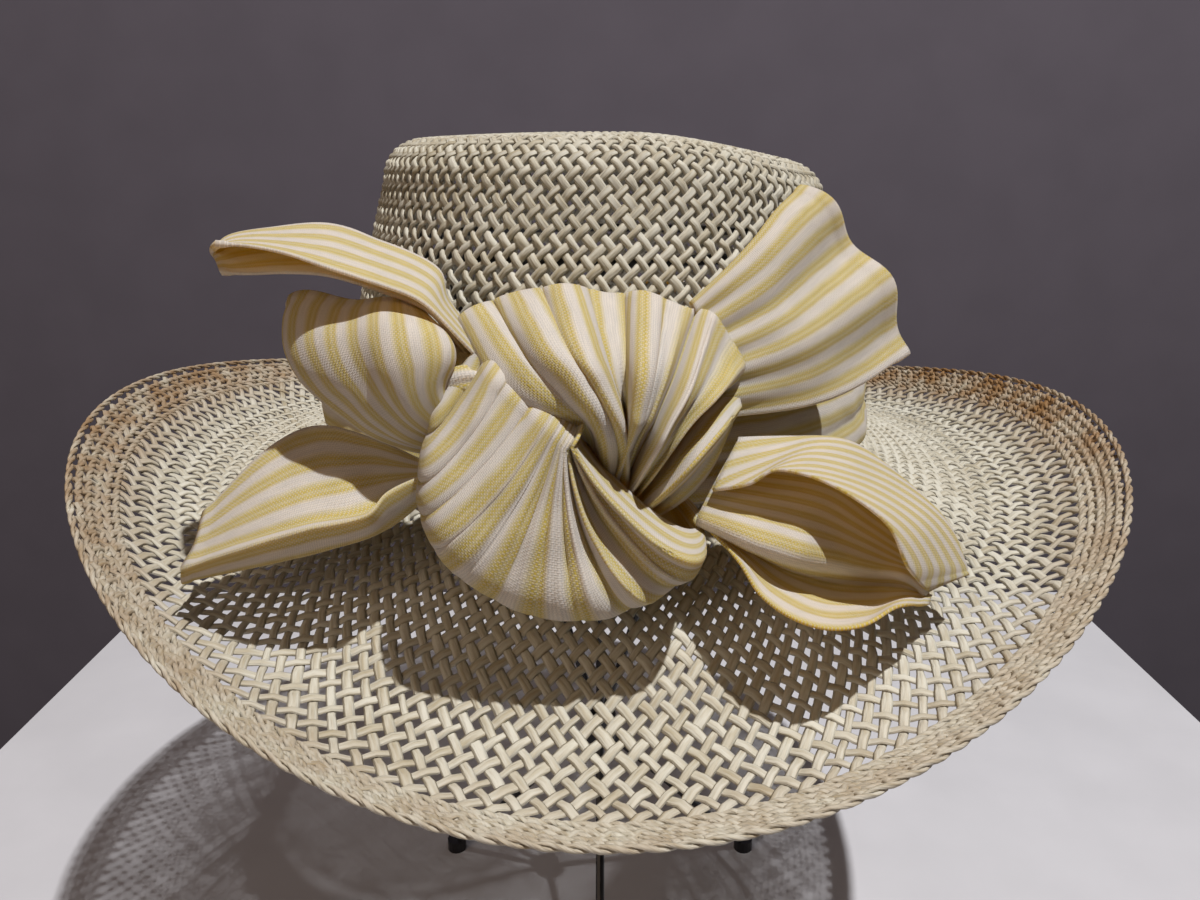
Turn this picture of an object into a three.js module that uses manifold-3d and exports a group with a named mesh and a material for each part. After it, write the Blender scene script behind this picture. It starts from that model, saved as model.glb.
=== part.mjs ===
import * as THREE from 'three';
import { mergeVertices } from 'three/addons/utils/BufferGeometryUtils.js';
import Module from 'manifold-3d';

// Straw sun hat with a knotted scarf, held on a wire stand.
// Millimetres. Z is up from the floor, the front of the hat faces -Y, and left is -X.

const wasm = await Module();
wasm.setup();

const GAP = 0.4;
const STRAW = 2.0;
const CLOTH = 1.2;

// Crown: an oval block with a softly rounded top edge that leans and slumps a little to the right.
const CROWN_BASE_Z = 205;
const CROWN_Y = 3;
const BASE_OVAL = { halfWidth: 83, halfLength: 96 };
const TOP_OVAL = { halfWidth: 67.5, halfLength: 80.5 };
const CROWN_HEIGHT = 91.5;
const CROWN_LEAN = 1.5;
const CROWN_EDGE = 11;
const CROWN_BELLY = 1.5;
const TIP_DOME = 2;
const SLUMP = { depth: 7, fromX: 5, toX: 68 };
const COVE = { height: 3, reach: 4 };

// Brim: dips at the front, lifts at the sides, and turns up all round at the rim.
const RIM_OVAL = { halfWidth: 155, halfLength: 167, fullness: 2.05 };
const RIM_EDGE = 3.2;
const SIDE_TILT = 2;
const FRONT_CORNER_LIFT = 3.5;
const BRIM = {
  front: { rimHeight: -34.5, rootSlope: -0.7, lipSlope: 0.5 },
  side: { rimHeight: 12.5, rootSlope: -0.35, lipSlope: 1.2 },
  back: { rimHeight: -13.5, rootSlope: -0.5, lipSlope: 0.7 },
};
const HAT_COLUMNS = 60;
const TIP_SHARES = [0, 0.35, 0.7, 1];
const EDGE_TURNS = [30, 60];
const SIDE_SHARES = [0, 0.33, 0.67, 1];
const BRIM_SHARES = [0.05, 0.14, 0.28, 0.44, 0.6, 0.74, 0.86, 0.95, 1];

// Scarf band round the foot of the crown.
const BAND = { bottom: 5, top: 38, clear: 0.8, thin: 1.4, fold: 1.8, folds: 3 };
const BAND_SLACK = { angle: -68, spread: 16, depth: 6 };
const BAND_ROWS = 9;

// Knot: one row for each fold, from its root at the pinch to its tip on the outline, going round from the right.
// bend is how far the fold bows to its left on the way. ridge and edge are how far it stands out from the back
// along its crest and at its tip.
const KNOT_BACK_Y = -92;
const KNOT_PINCH = { x: -2.5, z: 231, height: 20 };
const KNOT_DIP = 12;
const KNOT_VALLEY = 6;
const KNOT_TUCK = 0.55;
const KNOT_FOLDS = [
  { rootX: 7, rootZ: 222, tipX: 32, tipZ: 241, bend: -3, ridge: 40, edge: 14 },
  { rootX: 6.5, rootZ: 224, tipX: 27, tipZ: 257, bend: -4, ridge: 41, edge: 12 },
  { rootX: 6, rootZ: 226, tipX: 19, tipZ: 262, bend: -3, ridge: 43, edge: 12 },
  { rootX: 5, rootZ: 228, tipX: 10, tipZ: 263, bend: -2, ridge: 43, edge: 12 },
  { rootX: 4, rootZ: 230, tipX: 1, tipZ: 264, bend: 2, ridge: 40, edge: 12 },
  { rootX: 3, rootZ: 232, tipX: -10, tipZ: 265, bend: 3, ridge: 42, edge: 12 },
  { rootX: 1, rootZ: 235, tipX: -21, tipZ: 263, bend: 4, ridge: 42, edge: 12 },
  { rootX: -2, rootZ: 239, tipX: -31, tipZ: 259, bend: 4, ridge: 39, edge: 12 },
  { rootX: -8, rootZ: 244, tipX: -37, tipZ: 243, bend: -2, ridge: 33, edge: 14 },
  { rootX: -10.5, rootZ: 241, tipX: -39, tipZ: 229, bend: -3, ridge: 37, edge: 16 },
  { rootX: -9, rootZ: 237, tipX: -39, tipZ: 219.5, bend: -3, ridge: 39, edge: 18 },
  { rootX: -8, rootZ: 235, tipX: -35, tipZ: 209, bend: -2, ridge: 41, edge: 20 },
  { rootX: -7, rootZ: 233, tipX: -27, tipZ: 202, bend: -1, ridge: 42, edge: 22 },
  { rootX: -6, rootZ: 231, tipX: -15, tipZ: 197.5, bend: 0, ridge: 42, edge: 23 },
  { rootX: -5, rootZ: 229, tipX: -4, tipZ: 196.5, bend: 1, ridge: 42, edge: 23 },
  { rootX: -3.5, rootZ: 227, tipX: 6, tipZ: 197, bend: 2, ridge: 41, edge: 23 },
  { rootX: -1, rootZ: 223.5, tipX: 14, tipZ: 200.5, bend: 3, ridge: 39, edge: 22 },
  { rootX: 2, rootZ: 220.5, tipX: 23, tipZ: 209.5, bend: 4, ridge: 38, edge: 20 },
  { rootX: 6, rootZ: 219.5, tipX: 30, tipZ: 227, bend: -4, ridge: 38, edge: 16 },
];
const KNOT_SAMPLES = 4;
const KNOT_SHARES = [0, 0.12, 0.3, 0.5, 0.7, 0.86, 0.96, 1];

// Tails and loop: one row for each cross section, from the knot out to the free end.
// one and two are the section's two edges, and puff is half its thickness.
const LEFT_UPPER_TAIL = {
  pleats: 1, crease: 0.6,
  sections: [
    { one: [-23, -102, 251], two: [-26, -113, 250], puff: 2.4 },
    { one: [-34.5, -92, 260], two: [-33.5, -113, 258], puff: 3 },
    { one: [-41.5, -84, 268], two: [-42, -111, 265], puff: 3 },
    { one: [-66, -78, 277], two: [-58, -107, 269], puff: 3 },
    { one: [-85, -84, 274], two: [-85, -104, 269.5], puff: 2.6 },
  ],
};
const LEFT_LOOP = {
  pleats: 1.5, crease: 1.2,
  sections: [
    { one: [-36, -110, 229], two: [-31, -112, 235], puff: 3 },
    { one: [-50, -106, 233], two: [-33, -118, 245], puff: 6 },
    { one: [-63, -100, 239], two: [-31, -119, 252], puff: 8 },
    { one: [-71, -95, 246], two: [-32, -116, 256], puff: 8 },
    { one: [-73.5, -91, 254], two: [-36, -108, 258], puff: 5.5 },
    { one: [-73, -87, 260], two: [-40, -100, 259], puff: 1.8 },
  ],
};
const LEFT_LOWER_TAIL = {
  pleats: 1, crease: 1.4,
  sections: [
    { one: [-34, -108, 222], two: [-34, -113, 217], puff: 2.5 },
    { one: [-52, -104, 225], two: [-50.5, -121, 213], puff: 3.4 },
    { one: [-66, -98, 227], two: [-67.5, -122, 206], puff: 3.4 },
    { one: [-76, -98, 224], two: [-83.5, -118, 200.5], puff: 3 },
    { one: [-85, -98.5, 219.5], two: [-98, -112, 197.5], puff: 2.4 },
  ],
};
const RIGHT_UPPER_TAIL = {
  pleats: 2, crease: 2.4,
  sections: [
    { one: [20, -102, 261], two: [26, -106, 236], puff: 3 },
    { one: [32, -96, 271.5], two: [46.5, -100, 237], puff: 3.2 },
    { one: [41, -87, 280.5], two: [61, -92, 240], puff: 3 },
    { one: [47.5, -79, 285], two: [75.5, -82, 246], puff: 2.4 },
  ],
};
// The gaping tail is an open fold: upper and lower are the lips of its mouth, and back is the fold behind.
const RIGHT_LOWER_TAIL = [
  { upper: [23, -119, 223], back: [28, -105, 227], lower: [21, -118, 214] },
  { upper: [37, -124, 229], back: [45.5, -104, 226], lower: [32, -126, 207] },
  { upper: [53, -126, 223], back: [65.5, -100, 219], lower: [42.5, -130, 199] },
  { upper: [62, -126, 215.5], back: [82, -101, 207.5], lower: [55.5, -130, 197] },
  { upper: [66, -124, 206], back: [87.5, -104, 199.5], lower: [65.5, -126, 199.5] },
];
const TUBE_COLUMNS = 16;
const TUBE_ROWS = 9;
const FOLD_COLUMNS = 12;

// Stand: wires from three feet to a hub and from the hub to a ring that carries the crown.
const WIRE_RADIUS = 1.5;
const FEET = { radius: 73, padRadius: 4, padHeight: 5 };
const HUB = { z: 86, radius: 6, height: 10 };
const RING = { z: 266, radius: 67.5 };
const WIRES = [
  { name: 'front', angle: 270 },
  { name: 'right', angle: 30 },
  { name: 'left', angle: 150 },
];
const WIRE_SIDES = 8;
const RING_STEPS = 36;

const STRAW_LOOK = { color: 0xe2d6bd, roughness: 0.8 };
const COTTON_LOOK = { color: 0xeadfa6, roughness: 0.9 };
const WIRE_LOOK = { color: 0x17171a, roughness: 0.45, metalness: 0.3 };

const radians = THREE.MathUtils.degToRad;
const lerp = THREE.MathUtils.lerp;
const turns = (count) => Array.from({ length: count }, (_, i) => (2 * Math.PI * i) / count);

// Closed mesh from vertices and triangles, turned outward if its volume comes out negative.
function closedGeometry(vertices, triangles) {
  let volume = 0;
  for (const [a, b, c] of triangles) {
    volume += vertices[a].dot(new THREE.Vector3().crossVectors(vertices[b], vertices[c]));
  }
  const index = triangles.flatMap(([a, b, c]) => (volume < 0 ? [a, c, b] : [a, b, c]));
  const geometry = new THREE.BufferGeometry();
  const positions = vertices.flatMap((v) => [v.x, v.y, v.z]);
  geometry.setAttribute('position', new THREE.Float32BufferAttribute(positions, 3));
  geometry.setIndex(index);
  return geometry;
}

// Normals of a grid of points whose columns may close on themselves.
function gridNormals(points, closed) {
  const rows = points.length;
  const columns = points[0].length;
  return points.map((row, r) => row.map((_, c) => {
    const left = closed ? (c + columns - 1) % columns : Math.max(c - 1, 0);
    const right = closed ? (c + 1) % columns : Math.min(c + 1, columns - 1);
    const across = new THREE.Vector3().subVectors(row[right], row[left]);
    const above = points[Math.max(r - 1, 0)][c];
    const below = points[Math.min(r + 1, rows - 1)][c];
    const along = new THREE.Vector3().subVectors(below, above);
    return across.cross(along).normalize();
  }));
}

// A wall of even thickness on a middle surface given as a grid of points.
// With pole set, the first row is a single point in the middle of the second.
function wall(points, { closed = false, pole = false, thickness }) {
  const rows = points.length;
  const columns = points[0].length;
  const normals = gridNormals(points, closed);
  if (pole) {
    const mean = new THREE.Vector3();
    normals[1].forEach((n) => mean.add(n));
    normals[0] = normals[0].map(() => mean.clone().normalize());
  }
  const vertices = [];
  const face = (sign) => points.map((row, r) => {
    const single = pole && r === 0;
    return row.map((p, c) => {
      if (single && c > 0) {
        return vertices.length - 1;
      }
      vertices.push(p.clone().addScaledVector(normals[r][c], (sign * thickness(r)) / 2));
      return vertices.length - 1;
    });
  });
  const front = face(1);
  const back = face(-1);
  const triangles = [];
  const quad = (a, b, c, d) => {
    if (a !== b) {
      triangles.push([a, b, c]);
    }
    if (c !== d) {
      triangles.push([a, c, d]);
    }
  };
  const spans = closed ? columns : columns - 1;
  for (let c = 0; c < spans; c += 1) {
    const n = (c + 1) % columns;
    for (let r = 0; r < rows - 1; r += 1) {
      quad(front[r][c], front[r][n], front[r + 1][n], front[r + 1][c]);
      quad(back[r][n], back[r][c], back[r + 1][c], back[r + 1][n]);
    }
    quad(front[rows - 1][c], front[rows - 1][n], back[rows - 1][n], back[rows - 1][c]);
    if (!pole) {
      quad(front[0][n], front[0][c], back[0][c], back[0][n]);
    }
  }
  if (!closed) {
    for (let r = 0; r < rows - 1; r += 1) {
      const e = columns - 1;
      quad(front[r][0], front[r + 1][0], back[r + 1][0], back[r][0]);
      quad(front[r + 1][e], front[r][e], back[r][e], back[r + 1][e]);
    }
  }
  return closedGeometry(vertices, triangles);
}

// A filled body of closed rings, with a point in the middle of each end.
function filled(rings, startPoint, endPoint) {
  const columns = rings[0].length;
  const vertices = [...rings.flat(), startPoint, endPoint];
  const start = vertices.length - 2;
  const end = vertices.length - 1;
  const triangles = [];
  for (let c = 0; c < columns; c += 1) {
    const n = (c + 1) % columns;
    triangles.push([start, n, c]);
    for (let r = 0; r < rings.length - 1; r += 1) {
      const a = r * columns;
      const b = a + columns;
      triangles.push([a + c, a + n, b + n], [a + c, b + n, b + c]);
    }
    const last = (rings.length - 1) * columns;
    triangles.push([end, last + c, last + n]);
  }
  return closedGeometry(vertices, triangles);
}

function toSolid(geometry) {
  return new wasm.Manifold(new wasm.Mesh({
    numProp: 3,
    vertProperties: new Float32Array(geometry.getAttribute('position').array),
    triVerts: new Uint32Array(geometry.getIndex().array),
  }));
}

// The largest body of a solid, as geometry.
function fromSolid(solid) {
  const bodies = solid.decompose();
  bodies.sort((a, b) => b.volume() - a.volume());
  const mesh = bodies[0].getMesh();
  const geometry = new THREE.BufferGeometry();
  geometry.setAttribute('position', new THREE.Float32BufferAttribute(mesh.vertProperties, 3));
  geometry.setIndex(Array.from(mesh.triVerts));
  return geometry;
}

function trimmed(geometry, ...cutters) {
  return fromSolid(cutters.reduce((solid, cutter) => solid.subtract(cutter), toSolid(geometry)));
}

// A point of an oval at an angle measured from the front towards the right.
function ovalPoint(angle, { halfWidth, halfLength, fullness = 2 }, grow = 0) {
  const s = Math.sin(angle);
  const c = Math.cos(angle);
  const k = (Math.abs(s) ** fullness + Math.abs(c) ** fullness) ** (-1 / fullness);
  return new THREE.Vector2((halfWidth + grow) * s * k, -(halfLength + grow) * c * k);
}

function crownPoint(angle, oval, height, grow = 0) {
  const p = ovalPoint(angle, oval, grow);
  return new THREE.Vector3(p.x, p.y + CROWN_Y, CROWN_BASE_Z + height);
}

function scaledOval(oval, share) {
  return { halfWidth: oval.halfWidth * share, halfLength: oval.halfLength * share };
}

function topHeight(x) {
  return CROWN_HEIGHT - SLUMP.depth * THREE.MathUtils.smoothstep(x, SLUMP.fromX, SLUMP.toX);
}

// The crown's side at a share of the way from the top edge down to the foot.
function sidePoint(angle, share, grow = 0) {
  const belly = CROWN_BELLY * Math.sin(Math.PI * share);
  const oval = {
    halfWidth: lerp(TOP_OVAL.halfWidth, BASE_OVAL.halfWidth, share) + belly,
    halfLength: lerp(TOP_OVAL.halfLength, BASE_OVAL.halfLength, share) + belly,
  };
  const top = topHeight(ovalPoint(angle, TOP_OVAL).x) - CROWN_EDGE;
  const p = crownPoint(angle, oval, lerp(top, COVE.height, share), grow);
  p.x += CROWN_LEAN * (1 - share);
  return p;
}

// The crown's side at a height above its foot.
function sideAtHeight(angle, height, grow = 0) {
  const top = topHeight(ovalPoint(angle, TOP_OVAL).x) - CROWN_EDGE;
  return sidePoint(angle, (top - height) / (top - COVE.height), grow);
}

function tipPoint(angle, share) {
  const flat = { halfWidth: TOP_OVAL.halfWidth - CROWN_EDGE, halfLength: TOP_OVAL.halfLength - CROWN_EDGE };
  const p = crownPoint(angle, scaledOval(flat, share), 0);
  p.z += topHeight(p.x) + TIP_DOME * (1 - share * share);
  p.x += CROWN_LEAN;
  return p;
}

function edgePoint(angle, turn) {
  const inset = CROWN_EDGE * (1 - Math.sin(turn));
  const p = crownPoint(angle, TOP_OVAL, 0, -inset);
  p.z += topHeight(p.x) - CROWN_EDGE * (1 - Math.cos(turn));
  p.x += CROWN_LEAN;
  return p;
}

// A brim value blended round the hat from its front, side and back.
function aroundBrim(column, angle) {
  const { front, side, back } = BRIM;
  const ends = (front[column] + back[column]) / 2;
  return (ends + side[column]) / 2
    + ((front[column] - back[column]) / 2) * Math.cos(angle)
    + ((ends - side[column]) / 2) * Math.cos(2 * angle);
}

// The brim at a share of the way out from the crown, on a cubic from its root slope to its lip slope.
function brimPoint(angle, share) {
  const root = crownPoint(angle, BASE_OVAL, 0);
  const rim = ovalPoint(angle, RIM_OVAL);
  const width = Math.hypot(rim.x - root.x, rim.y - root.y);
  const t = share;
  const height = aroundBrim('rootSlope', angle) * width * t * (1 - t) ** 2
    + aroundBrim('rimHeight', angle) * t * t * (3 - 2 * t)
    + aroundBrim('lipSlope', angle) * width * t * t * (t - 1)
    - SIDE_TILT * Math.sin(angle) * t * t
    + FRONT_CORNER_LIFT * (Math.cos(angle) - Math.cos(3 * angle)) * t * t
    + COVE.height * Math.exp((-t * width) / COVE.reach);
  return new THREE.Vector3(lerp(root.x, rim.x, t), lerp(root.y, rim.y, t), CROWN_BASE_Z + height);
}

function strawBody() {
  const angles = turns(HAT_COLUMNS);
  const rows = [
    ...TIP_SHARES.map((share) => angles.map((a) => tipPoint(a, share))),
    ...EDGE_TURNS.map((turn) => angles.map((a) => edgePoint(a, radians(turn)))),
    ...SIDE_SHARES.map((share) => angles.map((a) => sidePoint(a, share))),
    ...BRIM_SHARES.map((share) => angles.map((a) => brimPoint(a, share))),
  ];
  const thickness = (row) => (row > rows.length - 3 ? RIM_EDGE : STRAW);
  return wall(rows, { closed: true, pole: true, thickness });
}

// How far the band stands out from the crown, with slack where it comes loose at the left front.
function bandOutset(angle, share) {
  const off = (THREE.MathUtils.euclideanModulo(angle - radians(BAND_SLACK.angle) + Math.PI, 2 * Math.PI) - Math.PI)
    / radians(BAND_SLACK.spread);
  const fold = BAND.fold * Math.abs(Math.sin(Math.PI * BAND.folds * share));
  const slack = BAND_SLACK.depth * Math.exp(-off * off) * Math.sin(Math.PI * share);
  return STRAW / 2 + BAND.clear + BAND.thin + fold + slack;
}

function scarfBand() {
  const rows = turns(HAT_COLUMNS).map((angle) => {
    const outside = Array.from({ length: BAND_ROWS }, (_, i) => {
      const share = i / (BAND_ROWS - 1);
      return sideAtHeight(angle, lerp(BAND.bottom, BAND.top, share), bandOutset(angle, share));
    });
    const inside = [BAND.top, BAND.bottom].map((h) => sideAtHeight(angle, h, STRAW / 2 + BAND.clear));
    return [...outside, ...inside];
  });
  const vertices = rows.flat();
  const columns = rows[0].length;
  const triangles = [];
  rows.forEach((_, r) => {
    const next = (r + 1) % rows.length;
    for (let c = 0; c < columns; c += 1) {
      const n = (c + 1) % columns;
      const [a, b] = [r * columns, next * columns];
      triangles.push([a + c, b + c, b + n], [a + c, b + n, a + n]);
    }
  });
  return closedGeometry(vertices, triangles);
}

// Everything behind the bow: the crown with its band, grown by the gap.
function crownCutter() {
  const angles = turns(HAT_COLUMNS);
  const bandGrow = STRAW / 2 + BAND.clear + BAND.thin + BAND.fold + GAP;
  const crownGrow = STRAW / 2 + GAP;
  const rings = [
    [COVE.height, bandGrow],
    [BAND.top + GAP, bandGrow],
    [BAND.top + 2 * GAP, crownGrow],
    [CROWN_HEIGHT - CROWN_EDGE - SLUMP.depth, crownGrow],
  ].map(([height, grow]) => angles.map((a) => sideAtHeight(a, height, grow)));
  rings.push(angles.map((a) => tipPoint(a, 1).add(new THREE.Vector3(0, 0, crownGrow))));
  const foot = new THREE.Vector3(0, CROWN_Y, rings[0][0].z);
  const top = new THREE.Vector3(0, CROWN_Y, CROWN_BASE_Z + CROWN_HEIGHT + crownGrow);
  return toSolid(filled(rings, foot, top));
}

// Everything below the brim's top face, grown by the gap.
function brimCutter() {
  const lift = new THREE.Vector3(0, 0, STRAW);
  const rings = [0, ...BRIM_SHARES].map((share) => turns(HAT_COLUMNS).map((a) => brimPoint(a, share).add(lift)));
  const middle = new THREE.Vector3(0, CROWN_Y, CROWN_BASE_Z);
  return toSolid(filled(rings, middle, new THREE.Vector3(0, 0, 0)));
}

// A fold's line from root to tip, seen from the front.
function foldLine(fold, share) {
  const dx = fold.tipX - fold.rootX;
  const dz = fold.tipZ - fold.rootZ;
  const side = (fold.bend * 4 * share * (1 - share)) / Math.hypot(dx, dz);
  return { x: fold.rootX + dx * share - dz * side, z: fold.rootZ + dz * share + dx * side };
}

// How far a fold stands out from the back of the knot along its line.
function foldHeight(fold, share) {
  const dome = fold.edge + (fold.ridge - fold.edge) * (1 - share ** 3) ** 0.6;
  return dome - KNOT_DIP * Math.max(0, 1 - share / 0.45) ** 2;
}

function cubicBlend(a, b, c, d, t) {
  return b + 0.5 * t * (c - a + t * (2 * a - 5 * b + 4 * c - d + t * (3 * (b - c) + d - a)));
}

function knotPoint(turn, share) {
  const count = KNOT_FOLDS.length;
  const at = Math.floor(turn);
  const t = turn - at;
  const near = [-1, 0, 1, 2].map((i) => KNOT_FOLDS[(at + i + count) % count]);
  const lines = near.map((fold) => foldLine(fold, share));
  const heights = near.map((fold) => foldHeight(fold, share));
  const valley = KNOT_VALLEY * (1 - Math.abs(Math.cos(Math.PI * t))) * Math.sin(Math.PI * share ** 0.8);
  return new THREE.Vector3(
    cubicBlend(...lines.map((p) => p.x), t),
    KNOT_BACK_Y - cubicBlend(...heights, t) + valley,
    cubicBlend(...lines.map((p) => p.z), t),
  );
}

function scarfKnot(grow = 0) {
  const count = KNOT_FOLDS.length * KNOT_SAMPLES;
  const columns = Array.from({ length: count }, (_, i) => i / KNOT_SAMPLES);
  const rings = KNOT_SHARES.map((share) => columns.map((turn) => knotPoint(turn, share)));
  const middle = new THREE.Vector3(KNOT_PINCH.x, 0, KNOT_PINCH.z);
  rings.push(columns.map((turn) => {
    const p = knotPoint(turn, 1);
    return p.lerp(middle, 1 - KNOT_TUCK).setY(KNOT_BACK_Y);
  }));
  if (grow > 0) {
    const normals = gridNormals(rings, true);
    rings.forEach((ring, r) => ring.forEach((p, c) => p.addScaledVector(normals[r][c], -grow)));
  }
  const pinch = new THREE.Vector3(KNOT_PINCH.x, KNOT_BACK_Y - KNOT_PINCH.height - grow, KNOT_PINCH.z);
  const back = new THREE.Vector3(KNOT_PINCH.x, KNOT_BACK_Y + grow, KNOT_PINCH.z);
  return filled(rings, pinch, back);
}

function smoothTrack(points) {
  return new THREE.CatmullRomCurve3(points.map((p) => new THREE.Vector3(...p)));
}

// Rings of a flattened tube of cloth between two edges, with pleats that both layers share.
function tubeRings({ pleats, crease, sections }, grow = 0) {
  const one = smoothTrack(sections.map((s) => s.one));
  const two = smoothTrack(sections.map((s) => s.two));
  const puff = smoothTrack(sections.map((s, i) => [i, s.puff, 0]));
  return Array.from({ length: TUBE_ROWS }, (_, r) => {
    const t = r / (TUBE_ROWS - 1);
    const [a, b] = [one.getPoint(t), two.getPoint(t)];
    const middle = a.clone().add(b).multiplyScalar(0.5);
    const half = b.clone().sub(a).multiplyScalar(0.5);
    const along = one.getTangent(t).add(two.getTangent(t)).normalize();
    const thick = new THREE.Vector3().crossVectors(half, along).normalize();
    half.setLength(half.length() + grow);
    const depth = puff.getPoint(t).y + grow;
    return turns(TUBE_COLUMNS).map((angle) => {
      const width = Math.cos(angle);
      const lift = depth * Math.sin(angle) + crease * t * Math.sin(Math.PI * pleats * (width + 1));
      return middle.clone().addScaledVector(half, width).addScaledVector(thick, lift);
    });
  });
}

function clothTube(tube) {
  return wall(tubeRings(tube), { closed: true, thickness: () => CLOTH });
}

// The room a tube takes up, grown by the gap.
function tubeCutter(tube) {
  const rings = tubeRings(tube, CLOTH / 2 + GAP);
  const middleOf = (ring) => ring.reduce((sum, p) => sum.add(p), new THREE.Vector3()).divideScalar(ring.length);
  return toSolid(filled(rings, middleOf(rings[0]), middleOf(rings.at(-1))));
}

// An open fold of cloth, from its upper lip round the back to its lower lip.
function gapingFold(sections) {
  const tracks = ['upper', 'back', 'lower'].map((key) => smoothTrack(sections.map((s) => s[key])));
  const rows = [];
  for (let r = 0; r < TUBE_ROWS; r += 1) {
    const [upper, back, lower] = tracks.map((track) => track.getPoint(r / (TUBE_ROWS - 1)));
    const mouth = upper.clone().add(lower).multiplyScalar(0.5);
    const half = upper.clone().sub(lower).multiplyScalar(0.5);
    const depth = back.clone().sub(mouth);
    rows.push(Array.from({ length: FOLD_COLUMNS }, (_, i) => {
      const angle = (Math.PI * i) / (FOLD_COLUMNS - 1);
      return mouth.clone().addScaledVector(half, Math.cos(angle)).addScaledVector(depth, Math.sin(angle));
    }));
  }
  return wall(rows, { thickness: () => CLOTH });
}

// A straight wire between two points.
function wire(from, to) {
  const span = new THREE.Vector3().subVectors(to, from);
  const geometry = new THREE.CylinderGeometry(WIRE_RADIUS, WIRE_RADIUS, span.length(), WIRE_SIDES);
  const turn = new THREE.Quaternion().setFromUnitVectors(new THREE.Vector3(0, 1, 0), span.clone().normalize());
  geometry.applyQuaternion(turn);
  geometry.translate(...from.clone().add(to).multiplyScalar(0.5).toArray());
  return geometry;
}

// An upright round bar standing on a given height.
function bar(x, y, z, radius, height, sides) {
  const geometry = new THREE.CylinderGeometry(radius, radius, height, sides);
  geometry.rotateX(Math.PI / 2);
  geometry.translate(x, y, z + height / 2);
  return geometry;
}

function weldedSolid(geometry) {
  geometry.deleteAttribute('normal');
  geometry.deleteAttribute('uv');
  return toSolid(mergeVertices(geometry, 1e-4));
}

function polar(radius, angle, z) {
  return new THREE.Vector3(radius * Math.cos(radians(angle)), CROWN_Y + radius * Math.sin(radians(angle)), z);
}

function hubSolid(grow = 0) {
  return weldedSolid(bar(0, CROWN_Y, HUB.z - HUB.height / 2 - grow, HUB.radius + grow, HUB.height + 2 * grow, 16));
}

function ringSolid(grow = 0) {
  const ring = new THREE.TorusGeometry(RING.radius, WIRE_RADIUS + grow, WIRE_SIDES, RING_STEPS);
  ring.translate(0, CROWN_Y, RING.z);
  return weldedSolid(ring);
}

function standLeg(angle) {
  const foot = polar(FEET.radius, angle, FEET.padHeight / 2);
  const leg = weldedSolid(wire(foot, new THREE.Vector3(0, CROWN_Y, HUB.z)));
  const pad = weldedSolid(bar(foot.x, foot.y, 0, FEET.padRadius, FEET.padHeight, 16));
  return fromSolid(leg.add(pad).subtract(hubSolid(GAP)));
}

function standArm(angle) {
  const arm = weldedSolid(wire(new THREE.Vector3(0, CROWN_Y, HUB.z), polar(RING.radius, angle, RING.z)));
  return fromSolid(arm.subtract(hubSolid(GAP)).subtract(ringSolid(GAP)));
}

function node(name, geometry, look) {
  const mesh = new THREE.Mesh(geometry, new THREE.MeshStandardMaterial(look));
  mesh.name = name;
  return mesh;
}

function build() {
  const behind = crownCutter().add(brimCutter());
  const knot = toSolid(scarfKnot(GAP));
  const upperTail = tubeCutter(LEFT_UPPER_TAIL);
  const loop = tubeCutter(LEFT_LOOP);
  const leaning = tubeCutter(RIGHT_UPPER_TAIL);
  const group = new THREE.Group();
  group.add(
    node('straw_body', strawBody(), STRAW_LOOK),
    node('scarf_band', scarfBand(), COTTON_LOOK),
    node('scarf_knot', trimmed(scarfKnot(), behind), COTTON_LOOK),
    node('left_upper_tail', trimmed(clothTube(LEFT_UPPER_TAIL), behind, knot), COTTON_LOOK),
    node('left_loop', trimmed(clothTube(LEFT_LOOP), behind, knot, upperTail), COTTON_LOOK),
    node('left_lower_tail', trimmed(clothTube(LEFT_LOWER_TAIL), behind, knot, loop), COTTON_LOOK),
    node('right_upper_tail', trimmed(clothTube(RIGHT_UPPER_TAIL), behind, knot), COTTON_LOOK),
    node('right_lower_tail', trimmed(gapingFold(RIGHT_LOWER_TAIL), behind, knot, leaning), COTTON_LOOK),
    node('stand_ring', fromSolid(ringSolid()), WIRE_LOOK),
    node('stand_hub', fromSolid(hubSolid()), WIRE_LOOK),
    ...WIRES.map(({ name, angle }) => node(`stand_arm_${name}`, standArm(angle), WIRE_LOOK)),
    ...WIRES.map(({ name, angle }) => node(`stand_leg_${name}`, standLeg(angle), WIRE_LOOK)),
  );
  return group;
}

export default build();
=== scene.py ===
"""Looks of a straw sun hat with a knotted striped scarf on a wire stand, built around its CAD frame."""

import math

import bpy
import numpy as np
from bpy.props import FloatProperty, FloatVectorProperty, IntProperty, PointerProperty
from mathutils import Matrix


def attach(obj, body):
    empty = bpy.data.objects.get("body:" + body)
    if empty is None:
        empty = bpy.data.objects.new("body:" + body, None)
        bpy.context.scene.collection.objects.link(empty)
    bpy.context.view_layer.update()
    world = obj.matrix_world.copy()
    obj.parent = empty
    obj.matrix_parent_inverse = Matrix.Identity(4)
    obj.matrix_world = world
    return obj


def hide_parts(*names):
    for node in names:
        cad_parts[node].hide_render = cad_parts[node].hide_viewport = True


bl_info = {
    "name": "Straw Sun Hat",
    "version": (1, 0, 0),
    "blender": (4, 5, 0),
    "location": "View3D > Sidebar > Sun Hat",
    "description": "Weaves a straw sun hat, ties its striped scarf and sets it on a wire stand",
    "category": "Object",
}

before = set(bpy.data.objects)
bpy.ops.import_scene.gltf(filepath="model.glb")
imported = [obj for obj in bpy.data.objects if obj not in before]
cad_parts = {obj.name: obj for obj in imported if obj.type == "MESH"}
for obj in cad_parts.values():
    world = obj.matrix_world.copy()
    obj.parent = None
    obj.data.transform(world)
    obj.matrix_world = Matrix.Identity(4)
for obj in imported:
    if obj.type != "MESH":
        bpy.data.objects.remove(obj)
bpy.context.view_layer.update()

BODY = "root"
MM = 0.001

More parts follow.
